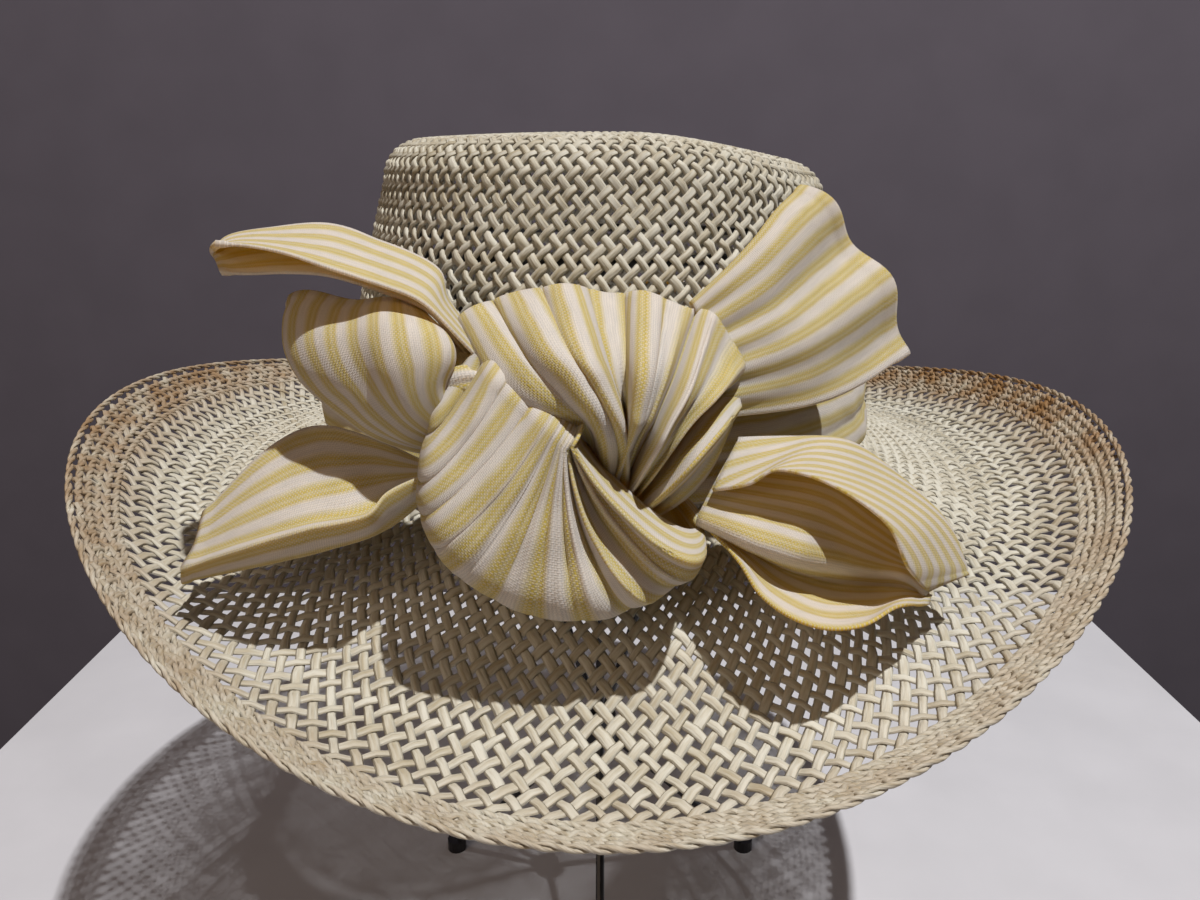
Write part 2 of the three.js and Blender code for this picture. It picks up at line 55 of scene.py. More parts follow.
# Hat shape in millimetres, as the CAD source has it. Z is up, the front faces -Y, and left is -X.
CROWN_BASE_Z = 205.0
CROWN_Y = 3.0
BASE_OVAL = (83.0, 96.0)
TOP_OVAL = (67.5, 80.5)
CROWN_HEIGHT = 91.5
CROWN_LEAN = 1.5
CROWN_EDGE = 11.0
CROWN_BELLY = 1.5
TIP_DOME = 2.0
SLUMP_DEPTH = 7.0
SLUMP_FROM_X = 5.0
SLUMP_TO_X = 68.0
COVE_HEIGHT = 3.0
COVE_REACH = 4.0
RIM_OVAL = (155.0, 167.0)
RIM_FULLNESS = 2.05
SIDE_TILT = 2.0
FRONT_CORNER_LIFT = 3.5
BRIM_FRONT = {"rim_height": -34.5, "root_slope": -0.7, "lip_slope": 0.5}
BRIM_SIDE = {"rim_height": 12.5, "root_slope": -0.35, "lip_slope": 1.2}
BRIM_BACK = {"rim_height": -13.5, "root_slope": -0.5, "lip_slope": 0.7}
STRAW_WALL = 2.0

# Weave details in millimetres.
STRAND_SIDES = 6
TIP_PITCH = 3.3
TIP_STRAND = 2.7
STRAND_WANDER = 0.28
CROWN_TWIST = -0.12
BRIM_TWIST = -0.08
BORDER_ROWS = 5
BORDER_SPACING = 1.9
BORDER_TURN = 6.4
BORDER_RADIUS = 0.5
BORDER_STRAND = 1.35
PLAIT_TURN = 10.6
PLAIT_RADIUS = 0.5
PLAIT_STRAND = 1.2
TWINE_SAMPLES = 7
# How much straws differ, as shares of their rise and width, and their tones from deep (0) to pale (1).
RISE_SPREAD = 0.15
WIDTH_SPREAD = 0.08
WIDTH_UNEVEN = 0.17
CROWN_TONE = 0.35
BRIM_TONE = 0.4
RIM_TONE = 0.36
TONE_SPREAD = 0.12
RIM_TONE_SPREAD = 0.05
# Old stains a little all round the lip, and painted shade on the lip at the left and the right back, in
# degrees.
STAIN_AND_SHADE_LIP = (0.66, 0.97)
STAIN_EVEN = 0.3
PAINTED_LIP_SHADES = (
    {"angle": -90.0, "spread": 55.0, "amount": 0.6},
    {"angle": 105.0, "spread": 48.0, "amount": 0.85},
)

# Scarf band round the foot of the crown, in millimetres.
BAND = {"bottom": 5.0, "top": 38.0, "clear": 0.8, "thin": 1.4, "fold": 1.8, "folds": 3}
BAND_SLACK = {"angle": -68.0, "spread": 16.0, "depth": 6.0}
BAND_COLUMNS = 260
BAND_ROWS = 44

# Knot, upper fan: a row for each fold, from the right round the top to the left, with five points along its
# crest, from its root under the sash to its tip on the outline. The creases say, for each fold, how deep the
# crease after it is (valley) and how far it laps over that crease (lean).
KNOT_BACK_Y = -92.0
KNOT_PINCH = (-2.5, 231.0)
FAN_CRESTS = (
    ((6.8, -109, 211.8), (13.2, -114, 215.6), (19.5, -115, 220.6), (25.2, -111, 226.2), (29.5, -102, 232)),
    ((7, -115, 214.8), (13, -123, 223), (19, -126, 231), (25.3, -120, 236.3), (31.1, -108, 239)),
    ((6.3, -113, 217), (12.4, -122, 229), (17.8, -124, 238), (24, -121, 244), (31.5, -108, 248.5)),
    ((5.6, -115, 218.9), (11.3, -128, 234.1), (14, -129, 240), (18.5, -124, 247), (24.8, -106, 259)),
    ((4.2, -112, 221), (8.2, -123, 236), (10.6, -126, 242), (14, -122, 250.5), (18.5, -106, 260.5)),
    ((2.8, -116, 222.7), (6.2, -129, 237.8), (7.4, -131, 243.5), (8.6, -127, 252.2), (9.8, -105, 263.8)),
    ((4.6, -109, 223), (5.2, -119, 238), (4.4, -122, 246), (3.2, -117, 254), (1.8, -102, 263)),
    ((6.1, -115, 222.9), (5.3, -127, 237.3), (1, -129, 248.3), (-2.8, -125, 255), (-7.4, -105, 265.4)),
    ((1.5, -116, 224.1), (0.2, -128, 238.4), (-4.8, -129, 248.3), (-11.5, -123, 255.5), (-18.6, -104, 263.4)),
    ((-1.7, -115, 230.2), (-5, -123, 238.4), (-11.5, -126, 242.9), (-19.2, -121, 249.5), (-28.6, -105, 260)),
    ((-7, -110, 226), (-13, -117, 232), (-21, -118, 238.5), (-28.5, -114, 246), (-35, -104, 254)),
    ((-12, -104, 222), (-18, -109, 227), (-26, -110, 233), (-32, -106, 240), (-37, -98, 248)),
)
FAN_CREASES = (
    (3, 0.1), (14, -0.25), (4, -0.15), (8, -0.25), (3, -0.1), (16, 0.35),
    (7, 0.2), (18, 0.35), (20, 0.4), (15, 0.35), (4, 0.0), (3, 0.0),
)
FAN_WRINKLE = 0.4
# The fan's root carries on under the sash by this much, down and back.
FAN_ROOT = (-1.0, 9.0, -9.0)
FAN_ROOT_SHARES = np.linspace(1, 0.2, 5)
# Knot, lower lobe: a row for each fold, from the sash round the bottom to the left. root and tip are its ends
# seen from the front (x, z), bend is how far it bows to its left, ridge and edge how far it stands out from the
# knot's back along its crest and at its tip, and valley and lean are as above. The end rows tuck under.
LOBE_COLUMNS = ("root_x", "root_z", "tip_x", "tip_z", "bend", "ridge", "edge", "valley", "lean")
LOBE_FOLDS = (
    (-5.2, 236.7, 23.3, 212.2, -3, 30, 12, 0, 0.0),
    (-5.6, 236.4, 23, 211.5, -3, 46, 25, 3.5, -0.25),
    (-6, 236, 21.5, 206, -4, 44, 22, 5, -0.3),
    (-6.5, 235.7, 13, 200.8, -4, 45, 24, 4, -0.25),
    (-7, 235.7, 2.5, 196.8, -2.5, 45.5, 25, 1.5, -0.1),
    (-7.5, 236, -9, 196.3, -1, 45.5, 25, 0.8, 0.0),
    (-8, 236.5, -18.5, 198.6, 0, 45, 25, 1.2, 0.0),
    (-9, 237.2, -27, 203.2, 1, 44.5, 24, 0.8, 0.0),
    (-10.5, 238.3, -34, 209, 1.5, 44, 22, 1, 0.1),
    (-13, 240, -38, 216.1, 1.5, 43, 20, 6, 0.35),
    (-18, 243.5, -39.6, 222, 1.5, 40, 18, 7, 0.35),
    (-23, 247.5, -39, 229.5, 2, 37, 16, 5, 0.25),
    (-27, 252, -37, 240, 0, 26, 10, 0, 0.0),
)
LOBE_DIP = 7.0
LOBE_WRINKLE = 0.15
# The lobe's upper edge rolls back behind itself, away from the sash.
LOBE_ROLL = 6.0
LOBE_ROLL_TURN = np.linspace(150, 15, 8)
SASH_NORMAL = (0.36, 0.0, 0.52)
FOLD_SAMPLES = 16
FLAT_SHARE = 0.62
CREASE_INWARD = 0.25
KNOT_ROWS = 48
KNOT_TUCK = 0.55
KNOT_TUCK_ROWS = 6

# Tails and loop: a row for each cross section, from the knot out to the free end. The first two points are
# the section's two edges, and the last value is half its thickness.
TUBES = {
    "loop_return": {
        "node": "left_loop", "pleats": 1.0, "crease": 0.4, "gathers": 2, "bulge": 0.0, "held": "folded",
        "sections": (
            ((-23.5, -109, 245), (-23.5, -110, 241), 1.8),
            ((-28.5, -113, 249), (-27.5, -115, 243.5), 2.6),
            ((-34, -112, 247), (-33, -114, 241.5), 2.6),
            ((-40.5, -107, 243), (-39.5, -109, 238), 1.8),
        ),
    },
    "left_loop": {
        "node": "left_loop", "pleats": 1.5, "crease": 1.2, "gathers": 3, "bulge": 0.0, "held": "folded",
        "sections": (
            ((-36, -110, 229), (-31, -112, 235), 3.0),
            ((-50, -106, 233), (-33, -118, 245), 6.0),
            ((-63, -100, 239), (-31, -119, 252), 8.0),
            ((-71, -95, 246), (-32, -116, 256), 8.0),
            ((-73.5, -91, 254), (-36, -108, 258), 5.5),
            ((-73, -87, 260), (-40, -100, 259), 1.8),
        ),
    },
    "right_upper_tail": {
        "node": "right_upper_tail", "pleats": 2.0, "crease": 2.4, "gathers": 5, "bulge": 4.0,
        "held": "gathered",
        "sections": (
            ((20, -102, 261), (26, -106, 236), 3.0),
            ((32, -96, 271.5), (46.5, -100, 237), 3.2),
            ((41, -87, 280.5), (61, -92, 240), 3.0),
            ((47.5, -79, 285), (75.5, -82, 246), 2.4),
        ),
    },
}
# Folded tails: a row for each cross section, from the knot out to the free end, with a point for each fold
# line. The upper left tail has its front lip, its back and its lower lip. The lower left tail has its upper
# edge, its panel, the hollow before the roll, the roll, its lower edge, and two lines of its lining on the way
# back up. The gaping tail has its upper lip, its back, the ridge inside it, the hollow under that and its lower
# lip. level is the share of the way across after which the stripes stop running level and follow the folds.
FOLDED_TAILS = {
    "left_upper_tail": {
        "level": 0.0, "lines": (
            ((-26, -112, 250.5), (-28, -103, 254), (-28.5, -109, 250)),
            ((-33, -114, 259), (-34.5, -97, 261.5), (-35, -109, 258.5)),
            ((-38.5, -113, 263.5), (-38, -89, 267.5), (-40.5, -106, 261.5)),
            ((-46, -111, 266), (-52.5, -82, 273), (-48.5, -104, 264)),
            ((-56.5, -109, 269), (-65.5, -78, 276.5), (-58.5, -103, 267)),
            ((-66, -107, 272), (-79, -80, 275.5), (-68.5, -101, 267.5)),
            ((-74.5, -105, 273.5), (-87, -84, 274), (-78, -99, 267)),
            ((-83, -103, 274), (-89, -90, 271), (-85, -97, 267)),
        ),
    },
    "left_lower_tail": {
        "level": 0.0, "lines": (
            (
                (-39, -108, 226), (-39, -111, 224), (-39, -112, 222.5), (-39, -116, 225),
                (-40, -113, 218), (-40, -107, 221), (-39, -106, 225),
            ),
            (
                (-51.5, -103, 230), (-48, -110, 222.5), (-45.5, -112, 220), (-46, -118, 222),
                (-46.5, -113, 213), (-50, -103, 220), (-52, -101, 228),
            ),
            (
                (-63.5, -97, 231.5), (-57, -112, 221), (-52, -117, 217), (-50.5, -121.5, 218),
                (-53, -115, 210.5), (-59, -100, 218), (-63.5, -95, 229.5),
            ),
            (
                (-72.5, -93, 229), (-67, -112, 218.5), (-64.5, -117.5, 215), (-63.5, -121, 214.5),
                (-65, -115, 207), (-69, -99, 215), (-72.5, -91, 227),
            ),
            (
                (-82, -95, 223), (-79, -111, 213.5), (-79, -115, 210), (-78.5, -118, 209),
                (-81, -113, 202.5), (-81, -99, 210), (-82, -93, 221),
            ),
            (
                (-94.5, -99, 210.5), (-94, -107, 205.5), (-95, -110, 203), (-95.5, -112, 201.5),
                (-97.5, -108, 197), (-96, -100, 202), (-94.5, -98, 209),
            ),
        ),
    },
    "right_lower_tail": {
        "level": 0.25, "lines": (
            ((24.5, -117, 222.5), (31.5, -104, 230.5), (21.5, -117, 216.5), (24, -111, 212), (24.5, -118, 213)),
            ((31.5, -122, 225.5), (45, -102, 230), (31.5, -124, 215), (32.5, -115, 208), (29.5, -125, 209.5)),
            ((37.5, -124, 229.5), (59, -99, 227.5), (41.5, -125, 212), (42.5, -115, 202), (34, -132, 204)),
            ((48.5, -126, 226.5), (73, -98, 217.5), (52.5, -121, 208), (53.5, -114, 198), (42, -138, 201)),
            ((59.5, -128, 219), (82.5, -101, 208.5), (62, -118, 204.5), (64, -113, 197), (52.5, -138, 200.5)),
            ((64.5, -128, 209.5), (86.5, -104, 200), (67.5, -120, 204), (69, -117, 198.5), (62, -132, 202)),
            ((72, -119, 200), (86.5, -106, 197.5), (73.5, -117, 198.5), (75, -115, 196.5), (73, -119, 196)),
        ),
    },
}
TUBE_COLUMNS = 96
TUBE_ROWS = 52
FOLD_COLUMNS = 97
GATHER_DEPTH = 0.6
TUBE_FLUTTER = 0.5
FOLD_FLUTTER = 0.6
HEM_WIDTH = 3.5

# Stage in metres: the edges of the floor board and of the wall behind, and the lamps.
FLOOR = {"left": -0.31, "right": 0.325, "front": -0.7, "back": 0.3}
WALL = {"left": -3.0, "right": 3.0, "foot": -2.0, "top": 3.0, "y": 0.74}
LAMP_AIM = (0.0, 0.0, 0.2)
KEY_LAMP = {"place": (0.61, -0.67, 2.4), "size": 0.05, "colour": (1.0, 0.98, 0.955)}
FILL_LAMP = {"place": (-0.9, -1.1, 0.9), "size": 0.9, "colour": (1.0, 0.76, 0.57)}

# Camera at the photograph's viewing angle, in metres and degrees.
CAMERA_PLACE = (0.0, -0.312, 0.291)
CAMERA_PITCH = 16.92
CAMERA_LENS = 28.5

SEED = 11


def linear(hex_colour):
    """Scene-linear RGBA of an sRGB hex colour."""
    channels = [int(hex_colour[i:i + 2], 16) / 255 for i in (1, 3, 5)]
    return tuple(c / 12.92 if c <= 0.04045 else ((c + 0.055) / 1.055) ** 2.4 for c in channels) + (1.0,)


def length_property(name, description, millimetres):
    """A length with its default given in millimetres."""
    return FloatProperty(name=name, description=description, default=millimetres * MM, min=0.0, unit="LENGTH")


def colour_property(name, description, hex_colour):
    """A colour with its default given as an sRGB hex value."""
    default = linear(hex_colour)
    return FloatVectorProperty(
        name=name, description=description, default=default, size=4, subtype="COLOR", min=0.0, max=1.0
    )


def power_property(name, description, watts):
    """A lamp's power with its default in watts."""
    return FloatProperty(name=name, description=description, default=watts, unit="POWER")


class StrawSettings(bpy.types.PropertyGroup):
    """Sizes and colours of the woven straw."""

    crown_strands: IntProperty(
        name="Crown strands", description="Strands that spiral each way round the crown", default=104, min=24
    )
    brim_strands: IntProperty(
        name="Brim strands", description="Strands that spiral each way round the brim", default=158, min=24
    )
    crown_width: length_property("Crown strand width", "Width of a straw in the crown", 2.05)
    brim_width: length_property("Brim strand width", "Width of a straw in the brim", 2.3)
    thickness: length_property("Strand thickness", "Thickness of a flattened straw", 1.0)
    rise: length_property("Weave rise", "How far a straw rises and dips at each crossing", 0.5)
    pale: colour_property("Pale straw", "Colour of the palest straws", "#C5C2B6")
    deep: colour_property("Deep straw", "Colour of the darkest straws", "#A39982")
    # Colour of old stains along the lip, also used to paint shade on the lip at the left and at the right back.
    stain_and_shade: colour_property("Stain", "Colour of the old stains along the lip", "#86653F")


class CottonSettings(bpy.types.PropertyGroup):
    """Sizes and colours of the striped cotton."""

    thickness: length_property("Cloth thickness", "Thickness of the cotton", 0.7)
    hem: length_property("Hem thickness", "Thickness of the rolled hem at a free end", 1.5)
    stripe: length_property("Stripe repeat", "Width of one white and one yellow stripe", 6.2)
    thread: length_property("Thread spacing", "Spacing of the threads in the plain weave", 0.45)
    white: colour_property("White thread", "Colour of the undyed threads", "#FAF9F6")
    gold: colour_property("Gold thread", "Colour of the dyed threads at a stripe's edges", "#E6D361")
    pale_gold: colour_property("Pale gold thread", "Colour of the dyed threads inside a stripe", "#F0E6A6")
    glow: colour_property("Glow", "Colour of the light that comes through the cloth", "#FFE19A")


class StandSettings(bpy.types.PropertyGroup):
    """Colours of the wire stand."""

    paint: colour_property("Paint", "Colour of the satin paint", "#15151A")
    worn: colour_property("Worn paint", "Colour of the paint where it is rubbed", "#3A3A3E")


class StageSettings(bpy.types.PropertyGroup):
    """Colours and light of the stage."""

    floor: colour_property("Floor", "Colour of the floor", "#C4C4CA")
    wall: colour_property("Wall", "Colour of the wall behind", "#615C66")
    ambient: colour_property("Ambient light", "Colour of the even light from all round", "#3F3630")
    key_power: power_property("Key light", "Power of the lamp overhead", 71.0)
    fill_power: power_property("Fill light", "Power of the soft front light", 4.2)


class SunHatSettings(bpy.types.PropertyGroup):
    """All settings of the hat."""

    straw: PointerProperty(type=StrawSettings)
    cotton: PointerProperty(type=CottonSettings)
    stand: PointerProperty(type=StandSettings)
    stage: PointerProperty(type=StageSettings)


# Shapes


def blend(a, b, t):
    """The value a share t of the way from a to b."""
    return a + (b - a) * t


def smooth_step(value, start, stop):
    """0 before start, 1 after stop, and a smooth rise between."""
    t = np.clip((value - start) / (stop - start), 0.0, 1.0)
    return t * t * (3 - 2 * t)


def hump(angle, place):
    """A soft hump from 0 to 1 round the hat, at a place's angle and with its spread, both in degrees."""
    off = (np.degrees(angle) - place["angle"] + 180) % 360 - 180
    return np.exp(-((off / place["spread"]) ** 2))


def unit(vectors):
    """Vectors scaled to length 1."""
    return vectors / np.maximum(np.linalg.norm(vectors, axis=-1, keepdims=True), 1e-9)


def ripples(points, size, seed):
    """Smooth random ripples of about the given size in millimetres, from -1 to 1."""
    rng = np.random.default_rng(seed)
    total = np.zeros(points.shape[:-1])
    waves = 7
    for _ in range(waves):
        direction = unit(rng.normal(size=3)) * 2 * np.pi / (size * rng.uniform(0.7, 1.5))
        total += np.sin(points @ direction + rng.uniform(0, 2 * np.pi))
    return total / waves * 1.6


def oval(angle, half_width, half_length, fullness=2.0):
    """X and Y of an oval at an angle measured from the front towards the right."""
    s, c = np.sin(angle), np.cos(angle)
    k = (np.abs(s) ** fullness + np.abs(c) ** fullness) ** (-1 / fullness)
    return half_width * s * k, -half_length * c * k


def top_height(x):
    """Height of the crown's top above its foot, which slumps towards the right."""
    return CROWN_HEIGHT - SLUMP_DEPTH * smooth_step(x, SLUMP_FROM_X, SLUMP_TO_X)


def crown_edge(angle, turn):
    """The rounded top edge of the crown, from level (0) to upright (90 degrees, in radians)."""
    inset = CROWN_EDGE * (1 - np.sin(turn))
    x, y = oval(angle, TOP_OVAL[0] - inset, TOP_OVAL[1] - inset)
    z = CROWN_BASE_Z + top_height(x) - CROWN_EDGE * (1 - np.cos(turn))
    return np.stack([x + CROWN_LEAN, y + CROWN_Y, z], axis=-1)


def crown_side(angle, share, grow=0.0):
    """The crown's side, a share of the way from the top edge down to the foot."""
    belly = CROWN_BELLY * np.sin(np.pi * share) + grow
    half_width = blend(TOP_OVAL[0], BASE_OVAL[0], share) + belly
    half_length = blend(TOP_OVAL[1], BASE_OVAL[1], share) + belly
    x, y = oval(angle, half_width, half_length)
    top = top_height(TOP_OVAL[0] * np.sin(angle)) - CROWN_EDGE
    z = CROWN_BASE_Z + blend(top, COVE_HEIGHT, share) + 0 * x
    return np.stack([x + CROWN_LEAN * (1 - share), y + CROWN_Y, z], axis=-1)


def crown_side_at(angle, height, grow):
    """The crown's side at a height above its foot."""
    top = top_height(TOP_OVAL[0] * np.sin(angle)) - CROWN_EDGE
    return crown_side(angle, (top - height) / (top - COVE_HEIGHT), grow)


def crown(angle, station):
    """The crown from the tip's outline (0) over the rounded edge (1) down to the foot (2)."""
    edge = crown_edge(angle, np.clip(station, -0.1, 1) * np.pi / 2)
    side = crown_side(angle, np.clip(station - 1, 0, 1.1))
    return np.where((station < 1)[..., None], edge, side)


def round_brim(column, angle):
    """A brim value blended round the hat from its front, side and back."""
    front, side, back = BRIM_FRONT[column], BRIM_SIDE[column], BRIM_BACK[column]
    ends = (front + back) / 2
    return (ends + side) / 2 + (front - back) / 2 * np.cos(angle) + (ends - side) / 2 * np.cos(2 * angle)


def brim(angle, share):
    """The brim, a share of the way out from the crown."""
    root_x, root_y = oval(angle, *BASE_OVAL)
    root_y = root_y + CROWN_Y
    rim_x, rim_y = oval(angle, *RIM_OVAL, RIM_FULLNESS)
    width = np.hypot(rim_x - root_x, rim_y - root_y)
    t = share
    height = (
        round_brim("root_slope", angle) * width * t * (1 - t) ** 2
        + round_brim("rim_height", angle) * t * t * (3 - 2 * t)
        + round_brim("lip_slope", angle) * width * t * t * (t - 1)
        - SIDE_TILT * np.sin(angle) * t * t
        + FRONT_CORNER_LIFT * (np.cos(angle) - np.cos(3 * angle)) * t * t
        + COVE_HEIGHT * np.exp(-t * width / COVE_REACH)
    )
    return np.stack([blend(root_x, rim_x, t), blend(root_y, rim_y, t), CROWN_BASE_Z + height], axis=-1)


def outward(surface, angle, station, step=2e-3):
    """Unit normals of a hat surface, pointing out of the hat."""
    across = surface(angle + step, station) - surface(angle - step, station)
    along = surface(angle, station + step) - surface(angle, station - step)
    return unit(np.cross(along, across))


def weave_stations(surface, start, stop, strands):
    """Stations half a weave pitch apart, so that the crossing straws enclose squares."""
    angles = np.linspace(0, 2 * np.pi, 240, endpoint=False)
    fine = np.linspace(start, stop, 600)
    grid = surface(angles[None, :], fine[:, None] + 0 * angles[None, :])
    steps = np.linalg.norm(np.diff(grid, axis=0), axis=-1).mean(axis=1)
    girth = np.linalg.norm(np.roll(grid, -1, axis=1) - grid, axis=-1).sum(axis=1)
    rings = np.concatenate([[0], np.cumsum(steps / (girth[:-1] / (2 * strands)))])
    return np.interp(np.arange(0, rings[-1], 0.5), rings, fine)


def spline(points, t):
    """Points at shares t along a smooth curve through the given points."""
    points = np.asarray(points, dtype=float)
    padded = np.concatenate([[2 * points[0] - points[1]], points, [2 * points[-1] - points[-2]]])
    spans = len(points) - 1
    at = np.clip(np.floor(t * spans).astype(int), 0, spans - 1)
    f = (t * spans - at).reshape((-1,) + (1,) * (points.ndim - 1))
    return cubic(padded[at], padded[at + 1], padded[at + 2], padded[at + 3], f)


def cubic(a, b, c, d, t):
    """The curve from b to c that leaves along a to c and arrives along b to d."""
    return b + 0.5 * t * (c - a + t * (2 * a - 5 * b + 4 * c - d + t * (3 * (b - c) + d - a)))


# Meshes


def mesh_piece(name, points, quads, uv, material, values=None):
    """A smooth mesh: points in millimetres, four corners to a face, and each corner's UV in metres."""
    mesh = bpy.data.meshes.new(name)
    mesh.vertices.add(len(points))
    mesh.vertices.foreach_set("co", (points * MM).astype(np.float32).ravel())
    mesh.loops.add(quads.size)
    mesh.loops.foreach_set("vertex_index", quads.astype(np.int32).ravel())
    mesh.polygons.add(len(quads))
    mesh.polygons.foreach_set("loop_start", np.arange(0, quads.size, 4, dtype=np.int32))
    mesh.polygons.foreach_set("use_smooth", np.ones(len(quads), dtype=bool))
    layer = mesh.uv_layers.new(name="UVMap")
    layer.data.foreach_set("uv", uv.astype(np.float32).ravel())
    for key, value in (values or {}).items():
        mesh.attributes.new(key, "FLOAT", "POINT").data.foreach_set("value", value.astype(np.float32).ravel())
    mesh.update(calc_edges=True)
    if mesh.validate():
        raise RuntimeError(f"{name} has faces that don't close")
    mesh.materials.append(material)
    piece = bpy.data.objects.new(name, mesh)
    bpy.context.scene.collection.objects.link(piece)
    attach(piece, BODY)
    return piece


def straw_tubes(paths, normals, widths, thickness, closed=False):
    """Flattened straws along paths (straw, sample, xyz): their points, faces and UVs in metres."""
    straws, samples, _ = paths.shape
    if closed:
        tangents = unit(np.roll(paths, -1, axis=1) - np.roll(paths, 1, axis=1))
    else:
        tangents = unit(np.gradient(paths, axis=1))
    sides = unit(np.cross(tangents, normals))
    ups = np.cross(sides, tangents)
    turn = np.arange(STRAND_SIDES) * 2 * np.pi / STRAND_SIDES
    wide = np.cos(turn)[:, None] * widths[..., None, None] / 2
    tall = np.sin(turn)[:, None] * thickness / 2
    points = paths[:, :, None] + sides[:, :, None] * wide + ups[:, :, None] * tall
    spans = samples if closed else samples - 1
    s, k, j = np.meshgrid(np.arange(straws), np.arange(spans), np.arange(STRAND_SIDES), indexing="ij")
    here = (s * samples + k) * STRAND_SIDES
    there = (s * samples + (k + 1) % samples) * STRAND_SIDES
    near, far = here + j, there + j
    turned = (j + 1) % STRAND_SIDES
    quads = np.stack([near, here + turned, there + turned, far], axis=-1).reshape(-1, 4)
    run = np.cumsum(np.linalg.norm(np.diff(paths, axis=1), axis=-1), axis=1)
    run = np.concatenate([np.zeros((straws, 1)), run], axis=1)
    run = np.concatenate([run, run[:, -1:] + 1], axis=1)
    around = (widths.mean() + thickness) * 1.2
    u0, u1 = j / STRAND_SIDES * around, (j + 1) / STRAND_SIDES * around
    v0, v1 = run[s, k], run[s, k + 1]
    uv = np.stack([u0, v0, u1, v0, u1, v1, u0, v1], axis=-1).reshape(-1, 2)
    if not closed:
        first = (np.arange(straws) * samples)[:, None] * STRAND_SIDES
        last = first + (samples - 1) * STRAND_SIDES
        caps = [first + [0, 3, 2, 1], first + [0, 5, 4, 3], last + [0, 1, 2, 3], last + [0, 3, 4, 5]]
        quads = np.concatenate([quads, *caps])
        uv = np.concatenate([uv, np.zeros((4 * 4 * straws, 2))])
    return points.reshape(-1, 3), quads, uv * MM


def spiral_straws(surface, stations, strands, direction, twist, width, straw, rng):
    """Straws that spiral one way down a hat surface, over and under those that spiral the other way."""
    ring = np.arange(len(stations)) / 2
    angle = (2 * np.pi * np.arange(strands)[:, None] + (direction + twist) * np.pi * ring[None, :]) / strands
    wander = np.cumsum(rng.normal(size=angle.shape), axis=1)
    wander -= np.linspace(0, 1, len(stations)) * wander[:, -1:]
    wander = np.clip(wander / 4, -1, 1) * STRAND_WANDER
    station = np.broadcast_to(stations, angle.shape)
    place = surface(angle, station)
    radius = np.linalg.norm(place[..., :2], axis=-1)
    place = surface(angle + wander / radius, station)
    normal = outward(surface, angle, station)
    rise = direction * straw.rise / MM * np.cos(np.pi * ring)
    rise = rise * (1 + RISE_SPREAD * rng.normal(size=(strands, 1)))
    uneven = rng.normal(size=angle.shape)
    uneven = (uneven + np.roll(uneven, 1, axis=1) + np.roll(uneven, 2, axis=1)) / 3
    widths = width / MM * (1 + WIDTH_SPREAD * rng.normal(size=(strands, 1)) + WIDTH_UNEVEN * uneven)
    return place + normal * rise[..., None], normal, widths, angle, station


def stain_and_shade_amount(angle, share):
    """Old stains along the lip all round, and painted shade there most at the left and at the right back."""
    amount = sum(stain_and_shade["amount"] * hump(angle, stain_and_shade) for stain_and_shade in PAINTED_LIP_SHADES) + STAIN_EVEN
    return smooth_step(share, *STAIN_AND_SHADE_LIP) * amount


def straw_piece(name, tubes, tones, stains_and_shade, material, samples):
    """A mesh of straws with a tone for each straw and an amount of stain and painted shade for each sample."""
    points, quads, uv = tubes
    values = {
        "straw_tone": np.repeat(tones, samples * STRAND_SIDES),
        "straw_stain_and_shade": np.repeat(stains_and_shade.ravel(), STRAND_SIDES),
    }
    piece = mesh_piece(name, points, quads, uv, material, values)
    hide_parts("straw_body")
    return piece


def cloth_piece(name, grid, across, along, material, cotton, closed=False, hem_rows=None):
    """A sheet of cotton on a grid of points (row, column), with across and along as its UV in millimetres."""
    rows, columns, _ = grid.shape
    spans = columns if closed else columns - 1
    r, c = np.meshgrid(np.arange(rows - 1), np.arange(spans), indexing="ij")
    turned = (c + 1) % columns
    here, there = r * columns, (r + 1) * columns
    quads = np.stack([here + c, here + turned, there + turned, there + c], axis=-1)
    corners = [(r, c), (r, c + 1), (r + 1, c + 1), (r + 1, c)]
    uv = np.stack([np.stack([across[i, j], along[i, j]], axis=-1) for i, j in corners], axis=-2)
    piece = mesh_piece(name, grid.reshape(-1, 3), quads.reshape(-1, 4), uv.reshape(-1, 2) * MM, material)
    thick = piece.modifiers.new("Cloth thickness", "SOLIDIFY")
    thick.offset = 0.0
    thick.thickness = cotton.thickness
    if hem_rows is not None:
        group = piece.vertex_groups.new(name="hem")
        thin = cotton.thickness / cotton.hem
        for row, weight in enumerate(hem_rows):
            group.add([row * columns + i for i in range(columns)], thin + (1 - thin) * weight, "REPLACE")
        thick.thickness = cotton.hem
        thick.vertex_group = group.name
    return piece


def lengths(points, axis):
    """Running lengths along an axis of a grid of points, from 0."""
    steps = np.linalg.norm(np.diff(points, axis=axis), axis=-1)
    start = np.zeros_like(np.take(steps, [0], axis=axis))
    return np.concatenate([start, np.cumsum(steps, axis=axis)], axis=axis)


def hem_weights(run):
    """How far each row of a cloth is rolled into the hem at its far end."""
    middle = run[:, run.shape[1] // 2]
    return smooth_step(middle, middle[-1] - HEM_WIDTH, middle[-1] - HEM_WIDTH * 0.6)


# Materials


def new_material(name):
    """An empty node material and its tree."""
    material = bpy.data.materials.new(name)
    material.use_nodes = True
    material.node_tree.nodes.clear()
    return material, material.node_tree


def add_node(tree, kind, inputs=None, **settings):
    """Add a shader node with its settings and its inputs, each a value or an output to link."""
    node = tree.nodes.new(f"ShaderNode{kind}")
    for key, value in settings.items():
        setattr(node, key, value)
    for key, value in (inputs or {}).items():
        if isinstance(value, bpy.types.NodeSocket):
            tree.links.new(value, node.inputs[key])
        else:
            node.inputs[key].default_value = value
    return node


def noise(tree, vector, size, detail, output="Fac"):
    """Noise with features of about the given size in millimetres."""
    inputs = {"Vector": vector, "Scale": 1 / (size * MM), "Detail": detail}
    return add_node(tree, "TexNoise", inputs).outputs[output]


